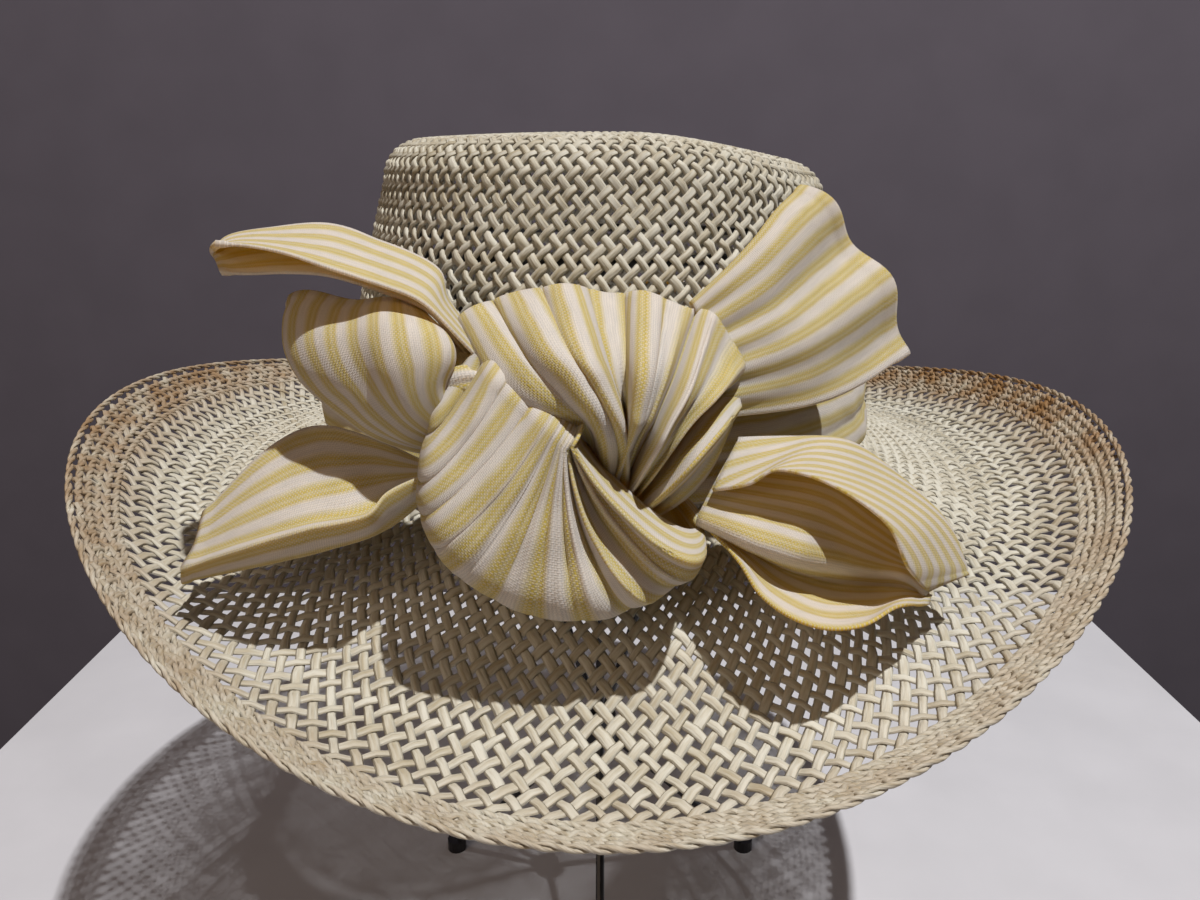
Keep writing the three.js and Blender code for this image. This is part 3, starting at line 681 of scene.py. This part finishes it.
def streaks(tree, uv, width, length, detail):
    """Noise drawn out into streaks of about the given width and length in millimetres."""
    scale = (1 / (width * MM), 1 / (length * MM), 1.0)
    placed = add_node(tree, "Mapping", {"Vector": uv, "Scale": scale}).outputs[0]
    return add_node(tree, "TexNoise", {"Vector": placed, "Scale": 1.0, "Detail": detail}).outputs["Fac"]


def maths(tree, operation, *values):
    """A number worked out from values."""
    return add_node(tree, "Math", dict(enumerate(values)), operation=operation).outputs[0]


def remap(tree, value, low=0.0, high=1.0, from_low=0.0, from_high=1.0):
    """A value moved from one range into another."""
    inputs = {"Value": value, "From Min": from_low, "From Max": from_high, "To Min": low, "To Max": high}
    return add_node(tree, "MapRange", inputs).outputs[0]


def ramp(tree, value, stops):
    """A colour picked by a value from stops, each a position and a colour."""
    node = add_node(tree, "ValToRGB", {"Fac": value})
    elements = node.color_ramp.elements
    while len(elements) < len(stops):
        elements.new(1.0)
    for element, (position, colour) in zip(elements, stops):
        element.position = position
        element.color = tuple(colour)
    return node.outputs["Color"]


def mix(tree, factor, one, two, blend_type="MIX"):
    """Two colours blended by a factor."""
    inputs = {"Factor": factor, "A": one, "B": two}
    return add_node(tree, "Mix", inputs, data_type="RGBA", blend_type=blend_type).outputs["Result"]


def bump(tree, height, strength, depth):
    """Normals bumped by a height, with the depth in millimetres."""
    inputs = {"Height": height, "Strength": strength, "Distance": depth * MM}
    return add_node(tree, "Bump", inputs).outputs[0]


def bleached_straw(straw):
    """Bleached straw, hand woven. The eye sees cream straws that differ a little from one to the next, fine
    fibres along each straw, a dull waxy gleam, old brown stains along the lip, and painted shade on the lip
    at the left and at the right back."""
    material, tree = new_material("bleached_straw")
    tone = add_node(tree, "Attribute", attribute_name="straw_tone").outputs["Fac"]
    stain_and_shade = add_node(tree, "Attribute", attribute_name="straw_stain_and_shade").outputs["Fac"]
    uv = add_node(tree, "UVMap", uv_map="UVMap").outputs["UV"]
    place = add_node(tree, "TexCoord").outputs["Object"]
    # Fibres are about 0.3 mm wide, drawn about twice as coarse so that they show.
    fibre = remap(tree, streaks(tree, uv, 0.6, 9, 4.0), from_low=0.32, from_high=0.68)
    shade = maths(tree, "MULTIPLY_ADD", fibre, 0.7, tone)
    colour = ramp(tree, shade, [(0.25, straw.deep), (0.95, straw.pale)])
    # Blotches about 9 mm across.
    patch = ramp(tree, noise(tree, place, 9, 4.0), [(0.2, (0, 0, 0, 1)), (0.62, (1, 1, 1, 1))])
    # The stain colour goes on in blotches: old stains all round the lip, and painted shade at the left and at
    # the right back.
    stained_and_shaded = mix(tree, maths(tree, "MULTIPLY", patch, stain_and_shade), colour, tuple(straw.stain_and_shade))
    surface = add_node(
        tree, "BsdfPrincipled",
        {
            "Base Color": stained_and_shaded, "Roughness": remap(tree, fibre, 0.5, 0.75),
            "Normal": bump(tree, fibre, 0.9, 0.22), "IOR": 1.45, "Specular IOR Level": 0.4,
        },
    )
    add_node(tree, "OutputMaterial", {"Surface": surface.outputs[0]})
    return material


def striped_cotton(cotton):
    """Yarn-dyed plain-weave cotton. The eye sees soft white and yellow stripes whose edges are deeper gold,
    small round threads with painted shade along their edges that break the stripes up, a matt nap, and a
    golden glow where light comes through."""
    material, tree = new_material("striped_cotton")
    uv = add_node(tree, "UVMap", uv_map="UVMap").outputs["UV"]
    # Threads wander a little, over lengths of about 7 mm.
    drift = noise(tree, uv, 7, 2.0, "Color")
    offset = add_node(tree, "VectorMath", {0: drift, 1: (0.5, 0.5, 0.5)}, operation="SUBTRACT").outputs[0]
    wander = add_node(tree, "VectorMath", {0: offset, "Scale": 0.7 * MM}, operation="SCALE").outputs[0]
    moved = add_node(tree, "VectorMath", {0: uv, 1: wander}, operation="ADD").outputs[0]
    across = add_node(tree, "SeparateXYZ", {0: moved}).outputs["X"]
    phase = maths(tree, "FRACT", maths(tree, "DIVIDE", across, cotton.stripe))
    white, gold, pale = tuple(cotton.white), tuple(cotton.gold), tuple(cotton.pale_gold)
    stripe = ramp(
        tree, phase,
        [(0.0, white), (0.26, white), (0.42, gold), (0.54, pale), (0.67, gold), (0.79, pale), (0.97, white)],
    )
    # Threads are drawn a little coarser than the real 0.3 mm, so that they show.
    count = 1 / cotton.thread
    weave = add_node(tree, "TexChecker", {"Vector": moved, "Scale": count}).outputs["Fac"]
    # A band wave repeats every pi / 10 of its coordinate, so the scale turns thread counts into waves.
    waves = {"Vector": moved, "Scale": count * math.pi / 10}
    warp = add_node(tree, "TexWave", waves, wave_type="BANDS", bands_direction="X").outputs["Fac"]
    weft = add_node(tree, "TexWave", waves, wave_type="BANDS", bands_direction="Y").outputs["Fac"]
    sides = {"Factor": weave, "A": weft, "B": warp}
    threads = add_node(tree, "Mix", sides, data_type="FLOAT").outputs["Result"]
    woven = mix(tree, remap(tree, weave, 0.42, 0.0), stripe, white)
    # Slubs, thicker and thinner stretches of thread about 6 mm long.
    shade = remap(tree, streaks(tree, uv, 0.8, 6, 2.0), low=0.9, from_low=0.3, from_high=0.7)
    # Painted shade: each thread is darkened towards its edges and in the gaps between threads, on top of the
    # slubs.
    depth = maths(tree, "MULTIPLY", shade, remap(tree, threads, 0.78, 1.0))
    colour = mix(tree, 1.0, woven, depth, "MULTIPLY")
    normal = bump(tree, threads, 0.5, 0.12)
    surface = add_node(
        tree, "BsdfPrincipled",
        {
            "Base Color": colour, "Roughness": 0.88, "Normal": normal, "IOR": 1.46,
            "Specular IOR Level": 0.2, "Sheen Weight": 0.15, "Sheen Roughness": 0.5,
        },
    )
    glow = mix(tree, 1.0, colour, tuple(cotton.glow), "MULTIPLY")
    through = add_node(tree, "BsdfTranslucent", {"Color": glow, "Normal": normal})
    cloth = add_node(tree, "MixShader", {"Fac": 0.43, 1: surface.outputs[0], 2: through.outputs[0]})
    add_node(tree, "OutputMaterial", {"Surface": cloth.outputs[0]})
    return material


def painted_steel(stand):
    """Satin black paint on bent steel wire. The eye sees a soft gleam along each wire, a faint orange-peel
    grain and slightly greyer patches where the paint is rubbed."""
    material, tree = new_material("painted_steel")
    place = add_node(tree, "TexCoord").outputs["Object"]
    rub = noise(tree, place, 14, 5.0)
    grain = noise(tree, place, 0.6, 2.0)
    colour = ramp(tree, rub, [(0.50, stand.paint), (0.78, stand.worn)])
    surface = add_node(
        tree, "BsdfPrincipled",
        {
            "Base Color": colour, "Roughness": remap(tree, rub, 0.3, 0.5),
            "Normal": bump(tree, grain, 0.25, 0.05), "IOR": 1.5,
        },
    )
    add_node(tree, "OutputMaterial", {"Surface": surface.outputs[0]})
    return material


def matt_board(name, board_colour):
    """Matt painted board for the stage. The eye sees a plain even tone with a faint mottle."""
    material, tree = new_material(name)
    mottle = noise(tree, add_node(tree, "TexCoord").outputs["Object"], 60, 4.0)
    darker = tuple(c * 0.94 for c in board_colour[:3]) + (1.0,)
    colour = ramp(tree, mottle, [(0.35, darker), (0.65, board_colour)])
    inputs = {"Base Color": colour, "Roughness": 0.9, "Specular IOR Level": 0.2}
    surface = add_node(tree, "BsdfPrincipled", inputs)
    add_node(tree, "OutputMaterial", {"Surface": surface.outputs[0]})
    return material


def shared_material(name, make, settings):
    """The named material, made on first use."""
    return bpy.data.materials.get(name) or make(settings)


# Operators


class SUNHAT_OT_weave_crown(bpy.types.Operator):
    """Weave the crown: spiral straws round the side and a square weave on the tip"""

    bl_idname = "sunhat.weave_crown"
    bl_label = "Weave Crown"

    def execute(self, context):
        straw = context.scene.sun_hat.straw
        material = shared_material("bleached_straw", bleached_straw, straw)
        rng = np.random.default_rng(SEED)
        stations = weave_stations(crown, 0.0, 2.0, straw.crown_strands)
        for name, direction in (("crown_straw_right", 1), ("crown_straw_left", -1)):
            paths, normals, widths, angle, _ = spiral_straws(
                crown, stations, straw.crown_strands, direction, CROWN_TWIST, straw.crown_width, straw, rng
            )
            tubes = straw_tubes(paths, normals, widths, straw.thickness / MM)
            tones = rng.normal(CROWN_TONE, TONE_SPREAD, straw.crown_strands)
            straw_piece(name, tubes, tones, 0 * angle, material, len(stations))
        self.weave_tip(straw, material, rng)
        return {"FINISHED"}

    def weave_tip(self, straw, material, rng):
        """The tip's straws cross at right angles, and their ends tuck under the spirals."""
        half = (TOP_OVAL[0] - CROWN_EDGE + 1.5, TOP_OVAL[1] - CROWN_EDGE + 1.5)
        reach = int(max(half) / TIP_PITCH) + 2
        parts, tones, counts = [], [], []
        for direction in (1, -1):
            for line in range(-reach, reach + 1):
                step = np.arange(-2 * reach, 2 * reach + 1) / 2
                a, b = line * TIP_PITCH, step * TIP_PITCH
                x, y = (a + b) * math.sqrt(0.5), (b - a) * math.sqrt(0.5) * direction
                share = np.hypot(x / half[0], y / half[1])
                kept = share < 1
                if kept.sum() < 3:
                    continue
                x, y, share, step = x[kept], y[kept], share[kept], step[kept]
                dome = TIP_DOME * (1 - np.minimum(share, 1) ** 2)
                rise = direction * straw.rise / MM * np.cos(np.pi * (step + line))
                z = CROWN_BASE_Z + top_height(x) + dome + rise
                path = np.stack([x + CROWN_LEAN, y + CROWN_Y, z], axis=-1)[None]
                normal = np.broadcast_to((0.0, 0.0, 1.0), path.shape)
                widths = TIP_STRAND * np.ones(path.shape[:2]) * (1 + WIDTH_SPREAD * rng.normal())
                parts.append(straw_tubes(path, normal, widths, straw.thickness / MM))
                tones.append(rng.normal(CROWN_TONE, TONE_SPREAD))
                counts.append(path.shape[1])
        starts = np.cumsum([0] + [len(points) for points, _, _ in parts[:-1]])
        points = np.concatenate([p for p, _, _ in parts])
        quads = np.concatenate([q + start for (_, q, _), start in zip(parts, starts)])
        uv = np.concatenate([u for _, _, u in parts])
        values = {
            "straw_tone": np.repeat(tones, np.array(counts) * STRAND_SIDES),
            "straw_stain_and_shade": np.zeros(len(points)),
        }
        piece = mesh_piece("crown_tip_straw", points, quads, uv, material, values)
        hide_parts("straw_body")


class SUNHAT_OT_weave_brim(bpy.types.Operator):
    """Weave the brim from spiral straws and finish its rim with a border of twined rows and a plait"""

    bl_idname = "sunhat.weave_brim"
    bl_label = "Weave Brim"

    def execute(self, context):
        straw = context.scene.sun_hat.straw
        material = shared_material("bleached_straw", bleached_straw, straw)
        rng = np.random.default_rng(SEED + 1)
        stations = weave_stations(brim, 0.0, 1.0, straw.brim_strands)
        for name, direction in (("brim_straw_right", 1), ("brim_straw_left", -1)):
            paths, normals, widths, angle, share = spiral_straws(
                brim, stations, straw.brim_strands, direction, BRIM_TWIST, straw.brim_width, straw, rng
            )
            tubes = straw_tubes(paths, normals, widths, straw.thickness / MM)
            tones = rng.normal(BRIM_TONE, TONE_SPREAD, straw.brim_strands)
            straw_piece(name, tubes, tones, stain_and_shade_amount(angle, share), material, len(stations))
        for row in range(1, BORDER_ROWS + 1):
            share = 1 - row * BORDER_SPACING / (RIM_OVAL[0] - BASE_OVAL[0])
            self.twine(f"rim_border_{row}", share, BORDER_TURN, BORDER_RADIUS, BORDER_STRAND, material, rng)
        self.twine("rim_plait", 1.0, PLAIT_TURN, PLAIT_RADIUS, PLAIT_STRAND, material, rng)
        return {"FINISHED"}

    @staticmethod
    def twine(name, share, turn_length, radius, width, material, rng):
        """Two straws twisted round each other along the brim, a share of the way out from the crown."""
        angles = np.linspace(0, 2 * np.pi, 2400, endpoint=False)
        ring = brim(angles, np.full_like(angles, share))
        run = np.concatenate([[0], np.cumsum(np.linalg.norm(np.roll(ring, -1, axis=0) - ring, axis=-1))])
        turns = round(run[-1] / turn_length)
        samples = turns * TWINE_SAMPLES
        even = np.interp(np.linspace(0, run[-1], samples, endpoint=False), run, np.append(angles, 2 * np.pi))
        level = np.full_like(even, share)
        middle = brim(even, level)
        up = outward(brim, even, level)
        out = unit(middle - brim(even, level - 0.02))
        turn = 2 * np.pi * turns * np.arange(samples) / samples + rng.uniform(0, 2 * np.pi)
        turn = np.stack([turn, turn + np.pi])
        offset = up * np.cos(turn)[..., None] + out * np.sin(turn)[..., None]
        widths = width * (1 + 0.1 * np.sin(turn * 0.37) + 0.06 * np.sin(turn * 1.13))
        tubes = straw_tubes(middle + radius * offset, offset, widths, width * 0.75, closed=True)
        stains_and_shade = np.broadcast_to(stain_and_shade_amount(even, level), (2, samples))
        straw_piece(name, tubes, rng.normal(RIM_TONE, RIM_TONE_SPREAD, 2), stains_and_shade, material, samples)


class SUNHAT_OT_wrap_band(bpy.types.Operator):
    """Wrap the scarf round the foot of the crown in soft lengthwise folds"""

    bl_idname = "sunhat.wrap_band"
    bl_label = "Wrap Band"

    def execute(self, context):
        cotton = context.scene.sun_hat.cotton
        material = shared_material("striped_cotton", striped_cotton, cotton)
        angle = np.linspace(0, 2 * np.pi, BAND_COLUMNS, endpoint=False)[None, :]
        share = np.linspace(0, 1, BAND_ROWS)[:, None]
        drift = 0.05 * np.sin(2 * angle + 0.6) + 0.035 * np.sin(5 * angle + 1.9) + 0.02 * np.sin(11 * angle)
        wave = np.pi * BAND["folds"] * (share + drift * np.sin(np.pi * share))
        depth = BAND["fold"] * (1 + 0.35 * np.sin(3 * angle + 2.0) + 0.2 * np.sin(7 * angle + 0.4))
        slack = BAND_SLACK["depth"] * hump(angle, BAND_SLACK) * np.sin(np.pi * share)
        outset = STRAW_WALL / 2 + BAND["clear"] + BAND["thin"] + depth * np.abs(np.sin(wave)) + slack
        tuck = np.minimum(smooth_step(share, 0.0, 0.05), 1 - smooth_step(share, 0.95, 1.0))
        outset = blend(STRAW_WALL / 2 + 0.9, outset, tuck)
        height = blend(BAND["bottom"], BAND["top"], share) + 0 * angle
        grid = crown_side_at(angle + 0 * share, height, outset)
        grid = grid + crown_normals(angle + 0 * share) * (0.35 * ripples(grid, 13, SEED) * tuck)[..., None]
        grid = grid.transpose(1, 0, 2)
        grid = np.concatenate([grid, grid[:1]])
        across = lengths(grid, 1)
        across = across * (across[:, -1].mean() / across[:, -1:])
        along = np.broadcast_to(lengths(grid, 0)[:, BAND_ROWS // 2][:, None], across.shape)
        piece = cloth_piece("scarf_band_cloth", grid, across, along, material, cotton)
        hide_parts("scarf_band")
        return {"FINISHED"}


def crown_normals(angle):
    """Level unit vectors that point straight out of the crown's side."""
    return unit(np.stack([np.sin(angle) / BASE_OVAL[0], -np.cos(angle) / BASE_OVAL[1], 0 * angle], axis=-1))


class SUNHAT_OT_tie_knot(bpy.types.Operator):
    """Tie the knot: an upper fan of deep folds, and a lower lobe whose edge crosses it as a sash"""

    bl_idname = "sunhat.tie_knot"
    bl_label = "Tie Knot"

    def execute(self, context):
        cotton = context.scene.sun_hat.cotton
        material = shared_material("striped_cotton", striped_cotton, cotton)
        share = np.linspace(0.0, 1.0, KNOT_ROWS)
        crests = np.stack([spline(crest, share) for crest in FAN_CRESTS], axis=1)
        valley, lean = np.array(FAN_CREASES, dtype=float).T
        window = np.sin(np.pi * blend(0.2, 0.9, share)) ** 0.6
        fan = pleated(crests, valley, lean, window, FAN_WRINKLE, SEED + 2)
        root = fan[:1] + FAN_ROOT_SHARES[:, None, None] * np.array(FAN_ROOT)
        self.lay(context, "knot_fan_cloth", np.concatenate([root, tucked_in(fan)]), material)
        lobe = dict(zip(LOBE_COLUMNS, np.array(LOBE_FOLDS, dtype=float).T))
        crests = self.lobe_crests(lobe, share[:, None])
        window = np.sin(np.pi * blend(0.15, 0.97, share**0.8)) ** 0.7
        sheet = pleated(crests, lobe["valley"], lobe["lean"], window, LOBE_WRINKLE, SEED + 3)
        turn = np.radians(LOBE_ROLL_TURN)[:, None, None]
        back = np.array((0, 1, 0))
        roll = sheet[:1] + LOBE_ROLL * (np.sin(turn) * np.array(SASH_NORMAL) + (1 - np.cos(turn)) * back)
        self.lay(context, "knot_lobe_cloth", np.concatenate([roll, tucked_in(sheet)]), material)
        return {"FINISHED"}

    @staticmethod
    def lobe_crests(lobe, s):
        """Crest points of the lobe's folds at shares from root to tip."""
        dx, dz = lobe["tip_x"] - lobe["root_x"], lobe["tip_z"] - lobe["root_z"]
        side = lobe["bend"] * 4 * s * (1 - s) / np.hypot(dx, dz)
        x = lobe["root_x"] + dx * s - dz * side
        z = lobe["root_z"] + dz * s + dx * side
        dome = lobe["edge"] + (lobe["ridge"] - lobe["edge"]) * (1 - s**10) ** 0.5
        height = dome - LOBE_DIP * np.maximum(0, 1 - s / 0.85) ** 1.2
        return np.stack([x, KNOT_BACK_Y - height, z], axis=-1)

    @staticmethod
    def lay(context, name, grid, material):
        """Lay a pleated sheet of the knot with its stripes along the folds."""
        spread = lengths(grid[round(FLAT_SHARE * KNOT_ROWS)], 0)
        across = np.broadcast_to(spread, grid.shape[:2])
        run = lengths(grid, 0).mean(axis=1)
        along = np.broadcast_to(run[:, None], grid.shape[:2])
        piece = cloth_piece(name, grid, across, along, material, context.scene.sun_hat.cotton)
        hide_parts("scarf_knot")


def pleated(crests, valley, lean, window, fine, seed):
    """A sheet through the crests of folds (row, fold, xyz), with creases between them and fine wrinkles."""
    folds = crests.shape[1]
    turn = np.linspace(0, folds - 1, (folds - 1) * FOLD_SAMPLES + 1)
    fold = np.minimum(np.floor(turn).astype(int), folds - 2)
    within = turn - fold
    lap = blend(lean[fold], lean[fold + 1], within) * np.sin(2 * np.pi * within)
    lapped = np.clip(turn + lap * window[:, None], 0, folds - 1)
    before, after = 2 * crests[:, :1] - crests[:, 1:2], 2 * crests[:, -1:] - crests[:, -2:-1]
    padded = np.concatenate([before, crests, after], axis=1)
    at = np.minimum(np.floor(lapped).astype(int), folds - 2)
    row = np.arange(len(crests))[:, None]
    grid = cubic(*[padded[row, at + i] for i in range(4)], (lapped - at)[..., None])
    crease = valley[fold] * (1 - np.abs(np.cos(np.pi * within)) ** 0.7) * window[:, None]
    small = fine * np.sin(2 * np.pi * 2.4 * turn + 2.2 * np.sin(3 * window[:, None] + turn)) * window[:, None]
    pinch = np.array([KNOT_PINCH[0], 0.0, KNOT_PINCH[1]])
    inward = unit((pinch - grid) * np.array([1.0, 0.0, 1.0]))
    late = smooth_step(np.linspace(0, 1, len(crests)), 0.35, 0.9)[:, None]
    grid = grid + inward * (CREASE_INWARD * crease * late)[..., None]
    grid[..., 1] += crease + small + 0.5 * ripples(grid, 12, seed) * window[:, None]
    return grid


def tucked_in(grid):
    """The sheet with its last row carried on round the back of the knot."""
    tuck = np.linspace(0, 1, KNOT_TUCK_ROWS + 1)[1:, None]
    rim = grid[-1][None]
    inward = (1 - KNOT_TUCK) * tuck**1.5
    back = np.stack(
        [
            blend(rim[..., 0], KNOT_PINCH[0], inward),
            blend(rim[..., 1], KNOT_BACK_Y, tuck**0.8),
            blend(rim[..., 2], KNOT_PINCH[1], inward),
        ],
        axis=-1,
    )
    return np.concatenate([grid, back])


class SUNHAT_OT_spread_tails(bpy.types.Operator):
    """Spread the scarf's loop and its flattened tails out of the knot"""

    bl_idname = "sunhat.spread_tails"
    bl_label = "Spread Loop and Tails"

    def execute(self, context):
        cotton = context.scene.sun_hat.cotton
        material = shared_material("striped_cotton", striped_cotton, cotton)
        for number, (name, tube) in enumerate(TUBES.items()):
            grid = self.rings(tube, SEED + 10 + number)
            closed = np.concatenate([grid, grid[:, :1]], axis=1)
            around = lengths(closed, 1)
            girth = around[:, -1].max()
            shares = (around / around[:, -1:]).mean(axis=0)
            across = np.broadcast_to(shares * girth, closed.shape[:2])
            run = lengths(closed, 0)
            along = np.broadcast_to(run.mean(axis=1)[:, None], closed.shape[:2])
            piece = cloth_piece(
                f"{name}_cloth", grid, across, along, material, cotton, closed=True, hem_rows=hem_weights(run)
            )
            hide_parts(tube["node"])
        return {"FINISHED"}

    def rings(self, tube, seed):
        """Rings of a flattened tube of cloth, with pleats that both layers share and gathers at the knot."""
        t = np.linspace(0, 1, TUBE_ROWS)
        edges = np.array([(one, two) for one, two, _ in tube["sections"]], dtype=float)
        puffs = np.array([puff for _, _, puff in tube["sections"]])
        tracks = spline(edges, t)
        one, two = tracks[:, 0], tracks[:, 1]
        puff = spline(puffs[:, None], t)
        middle, half = (one + two) / 2, (two - one) / 2
        along = unit(unit(np.gradient(one, axis=0)) + unit(np.gradient(two, axis=0)))
        thick = unit(np.cross(half, along))
        angle = np.linspace(0, 2 * np.pi, TUBE_COLUMNS, endpoint=False)
        width = np.cos(angle)[None, :]
        s = t[:, None]
        lift = puff * np.sin(angle)[None, :]
        lift = lift + tube["crease"] * s * np.sin(np.pi * tube["pleats"] * (width + 1))
        lift = lift + GATHER_DEPTH * (1 - s) ** 1.5 * np.sin(np.pi * tube["gathers"] * (width + 1))
        push = tube["bulge"] * (1 - width**2) * s * s
        grid = middle[:, None] + half[:, None] * width[..., None] + thick[:, None] * lift[..., None]
        grid = grid + along[:, None] * push[..., None]
        flutter = TUBE_FLUTTER * ripples(grid, 14, seed) * np.sin(np.pi * np.minimum(s + 0.25, 1))
        return grid + thick[:, None] * flutter[..., None]


class SUNHAT_OT_fold_tails(bpy.types.Operator):
    """Fold the open tails, whose mouths show the golden inside of the cloth"""

    bl_idname = "sunhat.fold_tails"
    bl_label = "Fold Open Tails"

    def execute(self, context):
        cotton = context.scene.sun_hat.cotton
        material = shared_material("striped_cotton", striped_cotton, cotton)
        t, c = np.linspace(0, 1, TUBE_ROWS), np.linspace(0, 1, FOLD_COLUMNS)
        for number, (name, tail) in enumerate(FOLDED_TAILS.items()):
            tracks = spline(np.array(tail["lines"], dtype=float), t)
            grid = spline(tracks.transpose(1, 0, 2), c).transpose(1, 0, 2)
            window = np.sin(np.pi * np.minimum(t + 0.2, 1))[:, None]
            grid[..., 1] += FOLD_FLUTTER * ripples(grid, 13, SEED + 30 + number) * window
            around = lengths(grid, 1)
            back = round(tail["level"] * (FOLD_COLUMNS - 1))
            fall = grid[:1, back, 2] - grid[:, back, 2]
            level = around[:, back][:, None] - around + fall[:, None]
            follow = smooth_step(c, tail["level"] - 0.01, 2 * tail["level"])[None, :]
            across = blend(level, -around.mean(axis=0), follow)
            run = lengths(grid, 0)
            along = np.broadcast_to(run.mean(axis=1)[:, None], grid.shape[:2])
            piece = cloth_piece(
                f"{name}_cloth", grid, across, along, material, cotton, hem_rows=hem_weights(run)
            )
            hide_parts(name)
        return {"FINISHED"}


class SUNHAT_OT_paint_stand(bpy.types.Operator):
    """Paint the wire stand satin black"""

    bl_idname = "sunhat.paint_stand"
    bl_label = "Paint Stand"

    def execute(self, context):
        material = shared_material("painted_steel", painted_steel, context.scene.sun_hat.stand)
        for name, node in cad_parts.items():
            if name.startswith("stand_"):
                node.data.materials.clear()
                node.data.materials.append(material)
        return {"FINISHED"}


class SUNHAT_OT_set_stage(bpy.types.Operator):
    """Set the floor, the wall behind, the lights and the camera"""

    bl_idname = "sunhat.set_stage"
    bl_label = "Set Stage"

    def execute(self, context):
        stage = context.scene.sun_hat.stage
        floor, wall = matt_board("pale_board", stage.floor), matt_board("grey_board", stage.wall)
        left, right, front, back = (FLOOR[edge] for edge in ("left", "right", "front", "back"))
        self.board("floor", [(left, front, 0), (right, front, 0), (right, back, 0), (left, back, 0)], floor)
        left, right, foot, top, y = (WALL[edge] for edge in ("left", "right", "foot", "top", "y"))
        self.board("wall", [(left, y, foot), (right, y, foot), (right, y, top), (left, y, top)], wall)
        self.lamp("key_light", KEY_LAMP, stage.key_power)
        self.lamp("fill_light", FILL_LAMP, stage.fill_power)
        world = bpy.data.worlds.new("even_light")
        world.use_nodes = True
        world.node_tree.nodes["Background"].inputs["Color"].default_value = tuple(stage.ambient)
        context.scene.world = world
        context.scene.view_settings.view_transform = "Standard"
        camera = bpy.data.objects.new("camera", bpy.data.cameras.new("camera"))
        camera.location = CAMERA_PLACE
        camera.rotation_euler = (math.radians(90 - CAMERA_PITCH), 0, 0)
        camera.data.lens = CAMERA_LENS
        camera.data.sensor_width = 36.0
        camera.data.sensor_fit = "HORIZONTAL"
        camera.data.clip_start = 0.005
        context.scene.collection.objects.link(camera)
        context.scene.camera = camera
        return {"FINISHED"}

    @staticmethod
    def board(name, corners, material):
        """A flat board of the stage."""
        mesh = bpy.data.meshes.new(name)
        mesh.from_pydata(corners, [], [(0, 1, 2, 3)])
        mesh.materials.append(material)
        board = bpy.data.objects.new(name, mesh)
        bpy.context.scene.collection.objects.link(board)

    @staticmethod
    def lamp(name, settings, power):
        """A round studio lamp aimed at the hat."""
        data = bpy.data.lights.new(name, "AREA")
        data.shape = "DISK"
        data.size = settings["size"]
        data.energy = power
        data.color = settings["colour"]
        lamp = bpy.data.objects.new(name, data)
        lamp.location = settings["place"]
        x, y, z = np.array(LAMP_AIM) - np.array(settings["place"])
        lamp.rotation_euler = (math.atan2(math.hypot(x, y), -z), 0, math.atan2(-x, y))
        bpy.context.scene.collection.objects.link(lamp)


class SUNHAT_PT_panel(bpy.types.Panel):
    """Buttons that build the hat, its scarf, its stand and the stage"""

    bl_idname = "SUNHAT_PT_panel"
    bl_label = "Straw Sun Hat"
    bl_space_type = "VIEW_3D"
    bl_region_type = "UI"
    bl_category = "Sun Hat"

    def draw(self, context):
        for operator in OPERATORS:
            self.layout.operator(operator.bl_idname)


OPERATORS = (
    SUNHAT_OT_weave_crown,
    SUNHAT_OT_weave_brim,
    SUNHAT_OT_wrap_band,
    SUNHAT_OT_tie_knot,
    SUNHAT_OT_spread_tails,
    SUNHAT_OT_fold_tails,
    SUNHAT_OT_paint_stand,
    SUNHAT_OT_set_stage,
)
CLASSES = (
    StrawSettings, CottonSettings, StandSettings, StageSettings, SunHatSettings, *OPERATORS, SUNHAT_PT_panel,
)


def register():
    """Register the classes and hang the settings on the scene."""
    for item in CLASSES:
        bpy.utils.register_class(item)
    bpy.types.Scene.sun_hat = PointerProperty(type=SunHatSettings)


def unregister():
    """Take the settings off the scene and the classes out of Blender."""
    del bpy.types.Scene.sun_hat
    for item in reversed(CLASSES):
        bpy.utils.unregister_class(item)


def main():
    register()
    bpy.ops.sunhat.weave_crown()
    bpy.ops.sunhat.weave_brim()
    bpy.ops.sunhat.wrap_band()
    bpy.ops.sunhat.tie_knot()
    bpy.ops.sunhat.spread_tails()
    bpy.ops.sunhat.fold_tails()
    bpy.ops.sunhat.paint_stand()
    bpy.ops.sunhat.set_stage()


if __name__ == "__main__":
    main()
